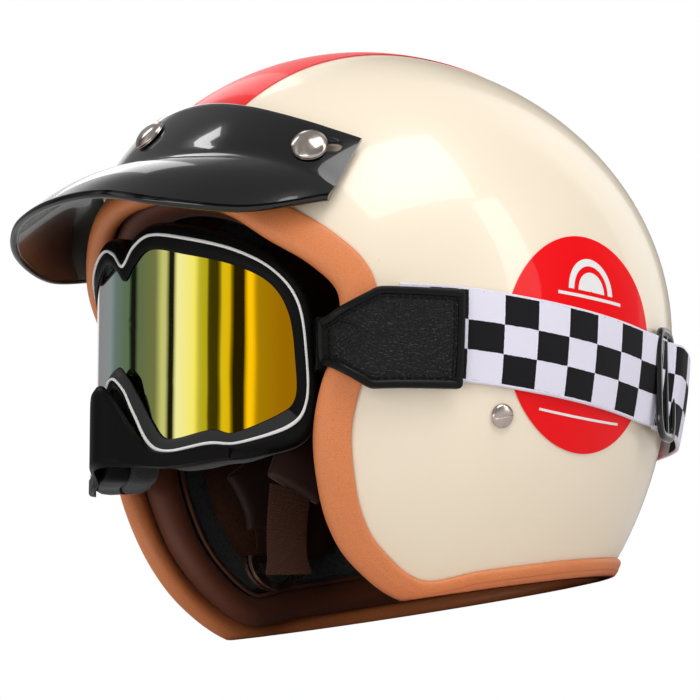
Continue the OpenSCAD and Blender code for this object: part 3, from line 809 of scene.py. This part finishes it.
def make_pads():
    for name, node, first, last, deep, shrink in (
        ("brow_cushion", "brow_pad", -8, 8, COMFORT_T + 1.5, 1.2),
        ("cheek_cushion_left", "cheek_pad_left", 9, 28, CHEEK_T, 2.6),
        ("cheek_cushion_right", "cheek_pad_right", -28, -9, CHEEK_T, 2.6),
        ("neck_cushion", "neck_roll", 29, 47, NECK_T, 2.2),
    ):
        pad = puff(pad_form(name, first, last, deep, shrink))
        pucker(pad)
        seat(pad, "root", PLUSH, "plush_brown", node)


def make_crown():
    ts = np.linspace(0.02, 0.62, 30)
    a = turns(EDGE_N)
    outer = [row_at(PAD_INSET, t, PAD_OUT - 0.3) for t in ts]
    inner = []
    for t in ts:
        seam = np.abs(np.sin(3 * a)) ** 0.22
        ring = min(1.0, abs(t - 0.30) / 0.05) ** 0.5
        edge = min(1.0, (0.62 - t) / 0.05 + 0.25) ** 0.5
        thick = COMFORT_T * (0.35 + 0.65 * (seam if t > 0.3 else 1.0) * ring * edge)
        inner.append(row_at(PAD_INSET, t, PAD_OUT - thick))
    crown = loft("crown_cushion", np.array(outer + inner[::-1]), sharp=70)
    seat(crown, "root", PLUSH, "plush_brown", "crown_liner")


# ---------------------------------------------------------------- peak and snaps
BAND_TOP = [[0, -105, 87], [35, -100, 84], [66, -89, 74.5], [86, -76, 66], [96, -65, 60]]
CREASE = [[0, -124, 57], [35, -119, 57], [66, -106, 54], [86, -91, 47], [99, -80, 37]]
BRIM_EDGE = [[0, -167, 38], [38, -162, 36], [66, -147, 29], [88, -118, 25], [101, -84, 32]]


def peak_line(half, k):
    h = np.array(half, float)
    return open_curve(np.concatenate([mirror_x(h[:0:-1]), h]), k)


def grid_normal(g):
    n = unit(np.cross(np.gradient(g, axis=1), np.gradient(g, axis=0)))
    return n if n[len(n) // 2, 0, 2] > 0 else -n


def peak_grid(k=12):
    top, mid, tip = (peak_line(h, k) for h in (BAND_TOP, CREASE, BRIM_EDGE))
    s = np.linspace(-1, 1, len(top))[:, None, None]
    j = np.linspace(0, 1, 13)[None, :-1, None]
    band = skin(dir_of(top[:, None] + (mid - top)[:, None] * j), PEAK_STAND)
    j = np.linspace(0, 1, 27)[None, :, None]
    bulge = 5 * (1 - s * s) * np.sin(math.pi * j)
    start = skin(dir_of(mid), PEAK_STAND)
    brim = start[:, None] + (tip - start)[:, None] * j + bulge * [0, 0, 1]
    g = np.concatenate([band, brim], 1)
    for _ in range(3):
        g[:, 9:16] = (g[:, 8:15] + 2 * g[:, 9:16] + g[:, 10:17]) / 4
    return g


def make_peak():
    g = peak_grid()
    n = grid_normal(g)
    under = g - PEAK_T * n
    tip = unit(g[:, -1] - g[:, -2])
    lip = []
    for t in np.radians(np.linspace(62, -242, 15)):
        lip.append(g[:, -1] - PEAK_T / 2 * n[:, -1] + 1.9 * (math.cos(t) * tip + math.sin(t) * n[:, -1]))
    top = unit(g[:, 0] - g[:, 1])
    rim = []
    for t in np.radians(np.linspace(-90, 90, 7)):
        rim.append(g[:, 0] - PEAK_T / 2 * n[:, 0] + PEAK_T / 2 * (math.cos(t) * top + math.sin(t) * n[:, 0]))
    sections = np.concatenate([g, np.stack(lip, 1), under[:, ::-1], np.stack(rim[1:-1], 1)], 1)
    peak = loft("peak_moulding", sections, sharp=50)
    for side, _ in SIDES:
        cut_slot(peak, side)
    seat(peak, "peak", GLOSS, "gloss_black", "peak")


def cut_slot(peak, side):
    """The slot beside each outer snap."""
    place = on_dome(side * STUDS[0][0], STUDS[0][1])
    t = turns(40)
    u = 3.0 * np.cos(t) + np.where(np.cos(t) > 0, 11.0, 0.0)
    ring = np.stack([side * u, 3.0 * np.sin(t)], -1)
    rows = [np.concatenate([ring, np.full((40, 1), h)], 1) for h in (0.5, 16.0)]
    cut_away(peak, placed(place, np.array(rows)))


def cut_away(obj, sections):
    cutter = loft("slot_cutter", sections)
    cut = obj.modifiers.new("slot", "BOOLEAN")
    cut.operation = "DIFFERENCE"
    cut.object = cutter
    cut.solver = "EXACT"
    settle(obj)
    bpy.data.objects.remove(cutter)


def make_caps():
    r, low = CAP_D / 2, PEAK_STAND
    profile = rounded_profile([
        [0.2, low + 0.5], [r - 0.6, low + 0.5], [r, low + 0.8], [r - 0.05, low + 1.5],
        [r - 0.7, low + 2.3], [r - 2.4, low + 3.4], [r - 5, low + 4.2], [0.2, low + 4.6],
    ])  # fmt: skip
    stem = [(0.2, 3.3), (3.7, 3.3), (3.7, low + 0.6), (0.2, low + 0.6)]
    parts = []
    for a, z in STUDS:
        place = on_dome(a, z)
        parts += [(lathe(place, profile), False), (lathe(place, stem), False)]
    seat(several("snap_cap_domes", parts), "peak", NICKEL, "nickel", "snap_caps")


def make_screws():
    rim = [[0.2, 0.3], [5.0, 0.3], [5.3, 0.7], [5.2, 1.2], [4.4, 1.9], [2.4, 2.35], [0.2, 2.5]]
    shank = [(0.1, -11), (2.7, -11), (2.7, 0.4), (0.1, 0.4)]
    turn = math.radians(15)
    u, v = np.array([math.cos(turn), math.sin(turn), 0]), np.array([-math.sin(turn), math.cos(turn), 0])
    corners = [x * u + y * v for x, y in ((-7, -0.5), (7, -0.5), (7, 0.5), (-7, 0.5))]
    slot = np.array([[p + [0, 0, h] for p in corners] for h in (1.5, 4)])
    heads, shanks = [], []
    for side, word in SIDES:
        place = on_dome(side * SCREW[0], SCREW[1])
        head = loft(f"chin_screw_{word}", lathe(place, rounded_profile(rim)))
        cut_away(head, placed(place, slot))
        heads.append(head)
        shanks.append((lathe(place, shank, 24), False))
    stems = several("screw_shanks", shanks)
    for head in heads:
        seat(head, "root", NICKEL, "nickel", "chin_screws")
    seat(stems, "root", NICKEL, "nickel")


# ---------------------------------------------------------------- goggles
GOGGLE_HALF = [
    [0, 7, 0, 20], [4.7, 13, 5.6, 28], [11.2, 18, 13.1, 30], [23.3, 13, 25.2, 26], [37.1, 6, 38.9, 18],
    [46.8, -3, 49.3, 7], [51.8, -17, 56.6, -8], [53.5, -38, 59.1, -33], [53.5, -54, 59.1, -58],
    [49.3, -61, 54.6, -72], [38, -68, 40.6, -77.5], [31.6, -66, 30.7, -78], [18.7, -68, 19.6, -79],
    [13.1, -60, 11.2, -77], [8.4, -47, 6.6, -62], [4.7, -37, 3.7, -49], [0, -32, 0, -43],
]  # fmt: skip


def on_lens(a, z, out=0.0):
    a, z, out = arrays(np.radians(a), z, out)
    return np.stack([(LENS_R + out) * np.sin(a), LENS_R - LENS_FRONT - (LENS_R + out) * np.cos(a), z], -1)


def goggle_loop(k=10):
    half = np.array(GOGGLE_HALF, float)
    return loop_curve(np.concatenate([half, half[-2:0:-1] * [-1, 1, -1, 1]]), k)


LOOP = goggle_loop()


def rim_at(s, out):
    """Points of the frame: share s from the lens opening to the outer edge, out beyond the lens."""
    a0, z0, a1, z1 = (LOOP[:, None, k] for k in range(4))
    a, z = a0 + (a1 - a0) * s, z0 + (z1 - z0) * s
    over_nose = 5 * np.cos(np.radians(np.minimum(90, np.abs(a) * 7))) ** 2 * ramp(-z, 26, 38)
    return on_lens(a, z, out + over_nose)


def make_goggle_frame():
    shape = np.array([
        [0, 2.7], [0.03, 3.0], [0.1, 3.5], [0.28, 3.85], [0.5, 4.0], [0.7, 3.7], [0.86, 2.9],
        [0.97, 1.0], [1, -1.0], [1, -5], [1, -8.4], [0.94, -9], [0.5, -9], [0.35, -8.6],
        [0.35, -1.2], [0.32, 2.4], [0.02, 2.4],
    ])  # fmt: skip
    low = (LOOP[:, 1] < -30) & (np.abs(LOOP[:, 0]) < 52)

    def rubber(k, i):
        return int(low[k] and 1 <= i <= 3)

    body = loft("goggle_frame_moulding", rim_at(*shape.T), True, None, rubber, 42)
    seat(body, "goggles", [SATIN, CHARCOAL], "frame_black", "goggle_frame")
    line = np.array([[0.45, 3.8], [0.465, 4.5], [0.51, 4.75], [0.555, 4.5], [0.57, 3.8]])
    stripe = loft("frame_pinstripe", rim_at(*line.T), True)
    seat(stripe, "goggles", PINSTRIPE, "piping_white", "frame_piping")


def make_lens():
    mid = np.array([0.0, -12.0])
    edge = LOOP[:, :2] + (LOOP[:, 2:] - LOOP[:, :2]) * 0.22

    def ring(t, out):
        p = mid + (edge - mid) * t
        return on_lens(p[:, 0], p[:, 1], out)

    ts = np.concatenate([[0.004], np.linspace(0.05, 1, 24)])
    rows = [ring(t, LENS_OUT) for t in ts] + [ring(t, LENS_OUT - LENS_T) for t in ts[::-1]]
    seat(loft("mirror_lens", np.array(rows), sharp=60), "goggles", MIRROR, "lens_mirror", "goggle_lens")


def make_face_foam():
    thin = ramp(-LOOP[:, 1], 30, 50) * ramp(np.abs(LOOP[:, 0]), 34, 42)
    deep = FOAM_DEEP * (1 - 0.68 * thin)[:, None]
    shape = loop_curve([[0.93, 0], [1.0, 0.5], [0.88, 1], [0.52, 1], [0.38, 0.5], [0.42, 0]], 4)
    foam = loft("face_foam_ring", rim_at(shape[:, 0], -9.4 - deep * shape[:, 1].clip(0, 1)), True)
    seat(foam, "goggles", FOAM, "foam_black", "face_foam")


def make_nose_guard():
    a = np.linspace(-37, 37, 81)
    line = np.array([[0, -39.5], [4.1, -45], [7.3, -57], [11.9, -71], [19.3, -75.3], [31, -74.2], [37, -75]])
    top = np.interp(np.abs(a), line[:, 0], line[:, 1])
    top = np.convolve(np.pad(top, 3, "edge"), np.ones(7) / 7, "valid")
    bottom = -78 - 3 * ramp(np.abs(a), 4, 18) + 1.5 * ramp(np.abs(a), 24, 37)
    j = np.linspace(0, 1, 17)
    z = top[:, None] + (bottom - top)[:, None] * j
    swell = 5.2 + 12 * np.exp(-((a / 10) ** 2))[:, None]
    edge = 1.6 * (1 - np.sqrt(np.clip(1 - (np.abs(2 * j - 1) - 0.86).clip(0) ** 2 / 0.14**2, 0, 1)))
    outer, inner = on_lens(a[:, None], z, swell - edge), on_lens(a[:, None], z, swell - 2.4)
    guard = loft("nose_guard_moulding", bands(outer, inner, 0.3), sharp=45)
    seat(guard, "goggles", SATIN, "frame_black", "nose_guard")


# ---------------------------------------------------------------- tabs, strap and sliders
TAB_E = [50.5, 52.3, 55, 57.7, 60.3, 62, 66, 72, 78]
TAB_OFF = [-3, 3, 7.5, 8.4, 8.1, 7.9, 7.4, 6.6, 6]
TAB_TOP = [-21.5, -21, -17.5, -14.1, -10.7, -8.7, -8.4, -8.2, -8]
TAB_BOT = [-41.5, -41.9, -45.3, -48.7, -52, -52, -51.5, -50.9, -50.3]


def tab_line(values, e):
    fine = open_curve(np.stack([TAB_E, values], -1), 8)
    return np.interp(e, fine[:, 0], fine[:, 1])


def tab_surface(e, z, out, side):
    return on_side(around(e, z, tab_line(TAB_OFF, e) + out), side)


def tab_outline(inset):
    """Closed outline of the tab as (direction, height), `inset` millimetres inside its edge."""
    e = np.linspace(TAB_E[0], TAB_E[-1], 60)
    top, bot = tab_line(TAB_TOP, e), tab_line(TAB_BOT, e)
    mm = 2.13  # millimetres along the dome for each degree
    edges = np.concatenate([np.stack([e * mm, top], -1), np.stack([e * mm, bot], -1)[::-1]])
    p = rounded_corners(edges, 1.6)
    c = unit(np.roll(p, -1, 0) - np.roll(p, 1, 0))
    inward = np.stack([c[:, 1], -c[:, 0]], -1)
    q = p + inset * inward
    return np.stack([q[:, 0] / mm, q[:, 1]], -1)


def rounded_corners(p, radius):
    """Even points along a closed outline, with its corners cut round by averaging."""
    closed = np.concatenate([p, p[:1]])
    run = length_along(closed)
    at = np.linspace(0, run[-1], 241)[:-1]
    q = np.stack([np.interp(at, run, closed[:, k]) for k in (0, 1)], -1)
    width = max(1, int(radius / (run[-1] / 240)))
    kernel = np.ones(2 * width + 1) / (2 * width + 1)
    wide = np.concatenate([q[-2 * width :], q, q[: 2 * width]])
    return np.stack([np.convolve(wide[:, k], kernel, "same")[2 * width : -2 * width] for k in (0, 1)], -1)


def make_tab(side, word):
    rim = tab_outline(0.0)
    centre = rim.mean(0)
    rows = []
    face = ((0.03, 0.0), (0.4, 0.0), (0.8, 0.0), (0.96, 0.0))
    for k, out in (*face, (1.0, -0.5), (1.0, -1.9), (0.9, -2.4), (0.03, -2.4)):
        q = centre + (rim - centre) * k
        rows.append(tab_surface(q[:, 0], q[:, 1], out, side))
    fine = [rows[0]]
    for r0, r1 in zip(rows[:3], rows[1:4]):
        fine += [r0 + (r1 - r0) * t for t in np.linspace(0, 1, 7)[1:]]
    body = loft(f"strap_tab_leather_{word}", np.array(fine + rows[4:]), sharp=50)
    seat(body, "goggles", BLACK_HIDE, "leather_black", f"strap_tab_{word}")
    mid = tab_outline(1.5)
    path = tab_surface(mid[:, 0], mid[:, 1], 0.0, side)
    out = unit(tab_surface(mid[:, 0], mid[:, 1], 1.0, side) - path)
    bead = sweep(path, oval(1.7, 0.85, 12, 3.0), out, True)
    seat(loft(f"strap_tab_binding_{word}", bead, True), "goggles", EDGE_BLACK, "leather_black")
    seam = tab_outline(4.3)
    run = length_along(tab_surface(seam[:, 0], seam[:, 1], 0, side))
    stitches = []
    for s in np.arange(2.0, run[-1] - 2, 3.4):
        at = np.linspace(s, s + 2.4, 6)
        e, z = np.interp(at, run, seam[:, 0]), np.interp(at, run, seam[:, 1])
        dip = 0.28 * np.sin(np.linspace(0.12, 0.88, 6) * math.pi) - 0.05
        path = tab_surface(e, z, dip, side)
        out = unit(tab_surface(e, z, dip + 1, side) - path)
        stitches.append((sweep(path, oval(0.42, 0.3, 8), out), False))
    seat(several(f"strap_tab_stitches_{word}", stitches), "goggles", THREAD, "leather_black")


def strap_z(a):
    return -26 - 0.1 * np.clip(np.asarray(a, float) - 78, 0, 75)


def strap_piece(name, start, stop, lift, side=1):
    """A length of the elastic from direction start to stop; lift gives its height off the dome."""
    a = np.arange(start, stop + 0.5, 1.0)
    s = np.linspace(-1, 1, 15)
    folded = np.where(a > 180, 360 - a, a)
    z = strap_z(folded)[:, None] + s[None] * (STRAP_W / 2 - 0.5)
    off = lift(a)[:, None]
    top, low = around(a[:, None], z, off + STRAP_T), around(a[:, None], z, off)
    mid = around(a, strap_z(folded), lift(a))
    run = length_along(mid)
    half = s * (STRAP_W / 2 - 0.5)
    across = np.concatenate([half, [STRAP_W / 2], half[::-1], [-STRAP_W / 2]])
    flow = np.stack(np.broadcast_arrays(run[:, None] + start * 2.2, across[None]), -1)
    return loft(name, on_side(bands(top, low, 0.5), side), False, flow)


def make_straps():
    def side_lift(a):
        return 0.9 + 2.4 * smooth(a, 122, 131)

    for side, word in SIDES:
        strap = strap_piece(f"elastic_side_{word}", 66, 131, side_lift, side)
        strap.data.materials.append(CHECKS)
        start, end = (on_side(around(a, strap_z(a), 2), side) for a in (112, 74))
        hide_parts(f"strap_side_{word}")
        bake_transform(strap)

    def lift(a):
        b = np.where(a > 180, 360 - a, a)
        return 0.9 + 2.4 * smooth(b, 134, 129) + 6.2 * smooth(b, 131, 137) * smooth(b, 168, 150)

    back = strap_piece("elastic_back", 129.5, 230.5, lift)
    seat(back, "root", CHECKS, "strap_check", "strap_back")


def make_sliders():
    p = around(SLIDER_AT, strap_z(SLIDER_AT), 0)
    n = unit([p[0] - SLIDER_PIVOT[0], p[1] - SLIDER_PIVOT[1], 0])
    place = frame_on(p + 5.1 * n, n)
    up = [0, 0, 1.0]
    ring = np.concatenate([oval(9.7, 23.8, 64, 4.0), np.zeros((64, 1))], 1)
    bar = np.stack([np.zeros(20), np.linspace(-23, 23, 20), np.zeros(20)], -1)
    loops = [
        (sweep(ring, oval(2.2, 1.5, 12, 2.6), np.tile(up, (64, 1)), True), True),
        (sweep(bar, oval(1.9, 1.2, 12, 2.6), np.tile(up, (20, 1))), False),
    ]
    for side, word in SIDES:
        name = f"slider_{word}"
        parts = [(on_side(placed(place, sections), side), closed) for sections, closed in loops]
        seat(several(f"strap_{name}", parts), name, GLOSS, "gloss_black", name)


def make_keeper():
    x = np.linspace(-10, 10, 21)
    z = np.linspace(-9, -63, 55)
    z = z[:, None] * np.ones((1, 21))
    round_end = np.sqrt(np.clip(1 - ((np.abs(z + 36) - 18).clip(0) / 9.2) ** 2, 0.02, 1))
    off = 1.2 * ramp(-z, 9, 15)
    across = (x[None] * round_end)[..., None] * [1, 0, 0]
    outer, inner = around(180, z, 5.6 + off) + across, around(180, z, 3.8 + off) + across
    leather = loft("keeper_leather", bands(outer, inner, 0.4))
    seat(leather, "keeper", BLACK_HIDE, "leather_black", "keeper_flap")
    profile = [[0.2, 0], [5.2, 0], [5.5, 0.3], [5.3, 0.9], [4, 1.9], [2, 2.3], [0.2, 2.4]]
    dome = lathe(on_dome(180, -59, 7.1), rounded_profile(profile))
    button = several("keeper_button", [(dome, False)])
    seat(button, "keeper", NICKEL, "nickel", "keeper_snap")
    base = rounded_block(on_dome(180, -3), (-11, 11), (-3, 6), (1.6, 3.6), 0.9)
    seat(several("keeper_anchor", [(base, False)]), "root", BLACK_HIDE, "leather_black", "keeper_base")


def rounded_block(place, xs, ys, hs, r):
    """Sections of a block with softened top edges."""
    rows = []
    for h, k in ((hs[0], 0.2), (hs[0] + 0.2, 0.0), (hs[1] - r, 0.0), (hs[1] - 0.3 * r, 0.3 * r), (hs[1], r)):
        rows.append(superloop((xs[0] + k, xs[1] - k), (ys[0] + k, ys[1] - k), h))
    return placed(place, np.array(rows))


def superloop(xs, ys, h, steps=48, power=6.0):
    o = oval((xs[1] - xs[0]) / 2, (ys[1] - ys[0]) / 2, steps, power)
    return np.concatenate([o + [(xs[0] + xs[1]) / 2, (ys[0] + ys[1]) / 2], np.full((steps, 1), h)], 1)


# ---------------------------------------------------------------- chin strap
def ribbon(path, width, thick, power=4.0, steps=28):
    """Sections of a flat strap that hangs in the plane x = const; width and thick may vary along it."""
    p = np.asarray(path, float)
    d = unit(np.gradient(p, axis=0))
    u = unit(np.cross([1.0, 0, 0], d))
    width = np.broadcast_to(width, len(p))
    thick = np.broadcast_to(thick, len(p))
    o = oval(1.0, 1.0, steps, power)
    flat = o[None, :, 0:1] * (width / 2)[:, None, None] * u[:, None]
    return p[:, None] + flat + o[None, :, 1:2] * (thick / 2)[:, None, None] * [1.0, 0, 0]


def strap_flow(path, width, steps=28, power=4.0):
    run = length_along(path)
    o = oval(1.0, 1.0, steps, power)
    across = o[None, :, 0] * np.broadcast_to(width, len(path))[:, None] / 2
    return np.stack(np.broadcast_arrays(run[:, None], across), -1)


def web_with_ribs(path, ribs):
    """The webbing's thickness along its path, ribbed for the first `ribs` millimetres."""
    run = length_along(path)
    ripple = 0.45 * np.abs(np.sin(math.pi * run / 2.2)) * smooth(ribs - run, 0, 3)
    return 1.2 + ripple


def make_chin():
    for word, control, web, body in (
        ("left", [[50.2, -42, -53], [52.8, -56, -61], [56, -68, -74], [57, -75, -90]],
         [[57, -76.2, -89], [57, -77.8, -104], [57, -78, -116], [57, -77, -127]], "chin_left"),
        ("right", [[-47, -36, -58], [-46.8, -30, -66], [-46.8, -24, -78], [-46.8, -22, -88]],
         [[-46.8, -21.8, -87], [-46.8, -21, -94], [-46.8, -21, -98], [-46.8, -21, -101]], "chin_right"),
    ):  # fmt: skip
        path = open_curve(control, 14)
        t = np.linspace(0, 1, len(path))
        ends = np.sqrt(np.clip(1 - (np.abs(2 * t - 1) - 0.86).clip(0) ** 2 / 0.02, 0.12, 1))
        sleeve = loft(f"chin_sleeve_cover_{word}", ribbon(path, 27.6 * (0.9 + 0.1 * ends), 6.8 * ends, 3.2))
        seat(sleeve, body, SLEEVE, "leather_brown", f"chin_sleeve_{word}")
        path = open_curve(web, 60)
        run = np.linspace(0, 1, len(path))
        width = WEB_W * (1 - 0.05 * np.sin(math.pi * run))
        if word == "left":
            end = np.sqrt(np.clip(1 - ((run - 0.95).clip(0) / 0.052) ** 2, 0.0, 1))
            width = (width + 2.4 * smooth(run, 0.75, 0.98)) * (end * 0.1 + 0.9)
        thick = web_with_ribs(path, 26 if word == "left" else 0)
        flow = strap_flow(path, width, 28, 5.0)
        strap = loft(f"chin_webbing_{word}", ribbon(path, width, thick, 5.0), False, flow)
        seat(strap, body, WEBBING, "webbing_brown", f"chin_web_{word}")


def finish_cad_nodes():
    """Hard CAD nodes whose shape is right keep it and get their finish."""
    for node, material in (
        ("eps_liner", LINER_FOAM), ("snap_studs", NICKEL), ("anchor_plates", STEEL), ("strap_roots", WEBBING),
        ("outriggers", SATIN), ("d_rings", NICKEL),
    ):  # fmt: skip
        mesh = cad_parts[node].data
        mesh.materials.clear()
        mesh.materials.append(material)


# ---------------------------------------------------------------- stage, light and camera
def make_floor():
    mesh = bpy.data.meshes.new("floor")
    r = 4.0
    corners = [(x, y, -0.0004) for x, y in ((-r, -r), (r, -r), (r, r), (-r, r))]
    mesh.from_pydata(corners, [], [(0, 1, 2, 3)])
    floor = link(bpy.data.objects.new("floor", mesh))
    material = bpy.data.materials.new("pale_floor")
    material.use_nodes = True
    material.node_tree.nodes.clear()
    f = Nodes(material.node_tree)
    behind = f.add("ShaderNodeNewGeometry").outputs["Backfacing"]
    solid = f.add("ShaderNodeBsdfDiffuse", Color=rgb(0.72, 0.72, 0.72)).outputs[0]
    clear = f.add("ShaderNodeBsdfTransparent").outputs[0]
    mixed = f.add("ShaderNodeMixShader", i0=behind, i1=solid, i2=clear).outputs[0]
    f.add("ShaderNodeOutputMaterial", Surface=mixed)
    mesh.materials.append(material)


AMBIENT = 0.36
BARS = [
    # direction in degrees from the front towards the wearer's left, and the brightness from there on
    (-180, 1.1), (-152, 1.2), (-148, 0.06), (-130, 0.06), (-126, 1.0), (-110, 0.9), (-105, 0.25), (-81, 0.29),
    (-75, 0.19), (-59, 0.16), (-57, 0.01), (-53, 0.01), (-51, 0.16), (-36, 0.19), (-31, 0.6),
    (-27.5, 0.6), (-26, 0.01), (-22, 0.01), (-20.5, 0.95), (-8, 1.0),
    (-5, 0.55), (0, 0.5), (1.5, 0.05), (8, 0.05), (10, 0.8), (14, 0.8), (16, 0.02), (23, 0.02), (24.5, 1.1),
    (27.5, 1.1), (30, 0.4), (110, 0.24),
]  # fmt: skip


def make_world():
    world = bpy.data.worlds.new("studio")
    bpy.context.scene.world = world
    world.use_nodes = True
    world.node_tree.nodes.clear()
    w = Nodes(world.node_tree)
    view = w.add("ShaderNodeTexCoord").outputs["Generated"]
    x, y, z = w.add("ShaderNodeSeparateXYZ", Vector=view).outputs
    turn = w.math("ARCTAN2", x, w.math("MULTIPLY", y, -1.0))
    share = w.math("ADD", w.math("DIVIDE", turn, 2 * math.pi), 0.5)
    stops = [((deg + 180) / 360, rgb(value / 2, value / 2, value / 2)) for deg, value in BARS]
    bars = w.math("MULTIPLY", w.ramp_of(share, stops), 2.0)
    ray = w.add("ShaderNodeLightPath").outputs
    high = w.add("ShaderNodeMix", i0=w.span(z, 0.55, 0.85), i2=bars, i3=AMBIENT).outputs[0]
    mirrored = ray["Is Glossy Ray"]
    studio = w.add("ShaderNodeMix", i0=mirrored, i2=AMBIENT, i3=high).outputs[0]
    seen = w.add("ShaderNodeMix", i0=ray["Is Camera Ray"], i2=studio, i3=1.0).outputs[0]
    back = w.add("ShaderNodeBackground", Color=seen).outputs[0]
    w.add("ShaderNodeOutputWorld", Surface=back)


def soft_box(name, at, aim, width, height, power, mirrored=True):
    light = bpy.data.lights.new(name, "AREA")
    light.shape = "RECTANGLE"
    light.size = width
    light.size_y = height
    light.energy = power
    obj = link(bpy.data.objects.new(name, light))
    obj.location = at
    obj.rotation_euler = (Vector(aim) - Vector(at)).to_track_quat("-Z", "Y").to_euler()
    obj.visible_glossy = mirrored


def make_lights():
    centre = (0, 0, 0.14)
    soft_box("key_over_left", (0.95, 0.15, 1.35), centre, 1.1, 0.8, 12.5)
    soft_box("front_left", (1.1, -1.5, 0.75), centre, 0.5, 1.1, 7.0, False)
    soft_box("rear_left", (1.35, 0.95, 0.55), centre, 0.35, 1.2, 5)
    soft_box("front_right", (-1.1, -1.3, 0.7), centre, 0.6, 1.0, 3.5, False)
    soft_box("strip_on_brim", (-1.0, 0.4, 1.14), centre, 0.22, 1.0, 1.3)
    soft_box("strip_on_band", (-0.75, -0.56, 1.4), centre, 0.16, 0.7, 3.0)
    soft_box("low_front", (0.5, -1.2, 0.06), centre, 0.9, 0.25, 2.5)


def make_camera():
    camera = bpy.data.cameras.new("camera")
    obj = link(bpy.data.objects.new("camera", camera))
    right, up = (0.53435, 0.83043, -0.15766), (0.16852, 0.07811, 0.98259)
    back = (0.82829, -0.55162, -0.09820)
    place = Matrix((right, up, back)).transposed().to_4x4()
    place.translation = (1.7985, -1.1977, -0.0839)
    obj.matrix_world = place
    camera.sensor_width = 36.0
    camera.lens = 244.95
    camera.shift_x = -0.027
    camera.shift_y = -0.032
    bpy.context.scene.camera = obj


make_camera()
make_floor()
make_world()
make_lights()
bpy.context.scene.view_settings.view_transform = "Standard"
make_shell()
make_stripe()
make_decals()
make_trim()
make_roll()
make_pads()
make_crown()
make_peak()
make_caps()
make_screws()
make_goggle_frame()
make_lens()
make_face_foam()
make_nose_guard()
for tab_side, tab_word in SIDES:
    make_tab(tab_side, tab_word)
make_straps()
make_sliders()
make_keeper()
make_chin()
finish_cad_nodes()
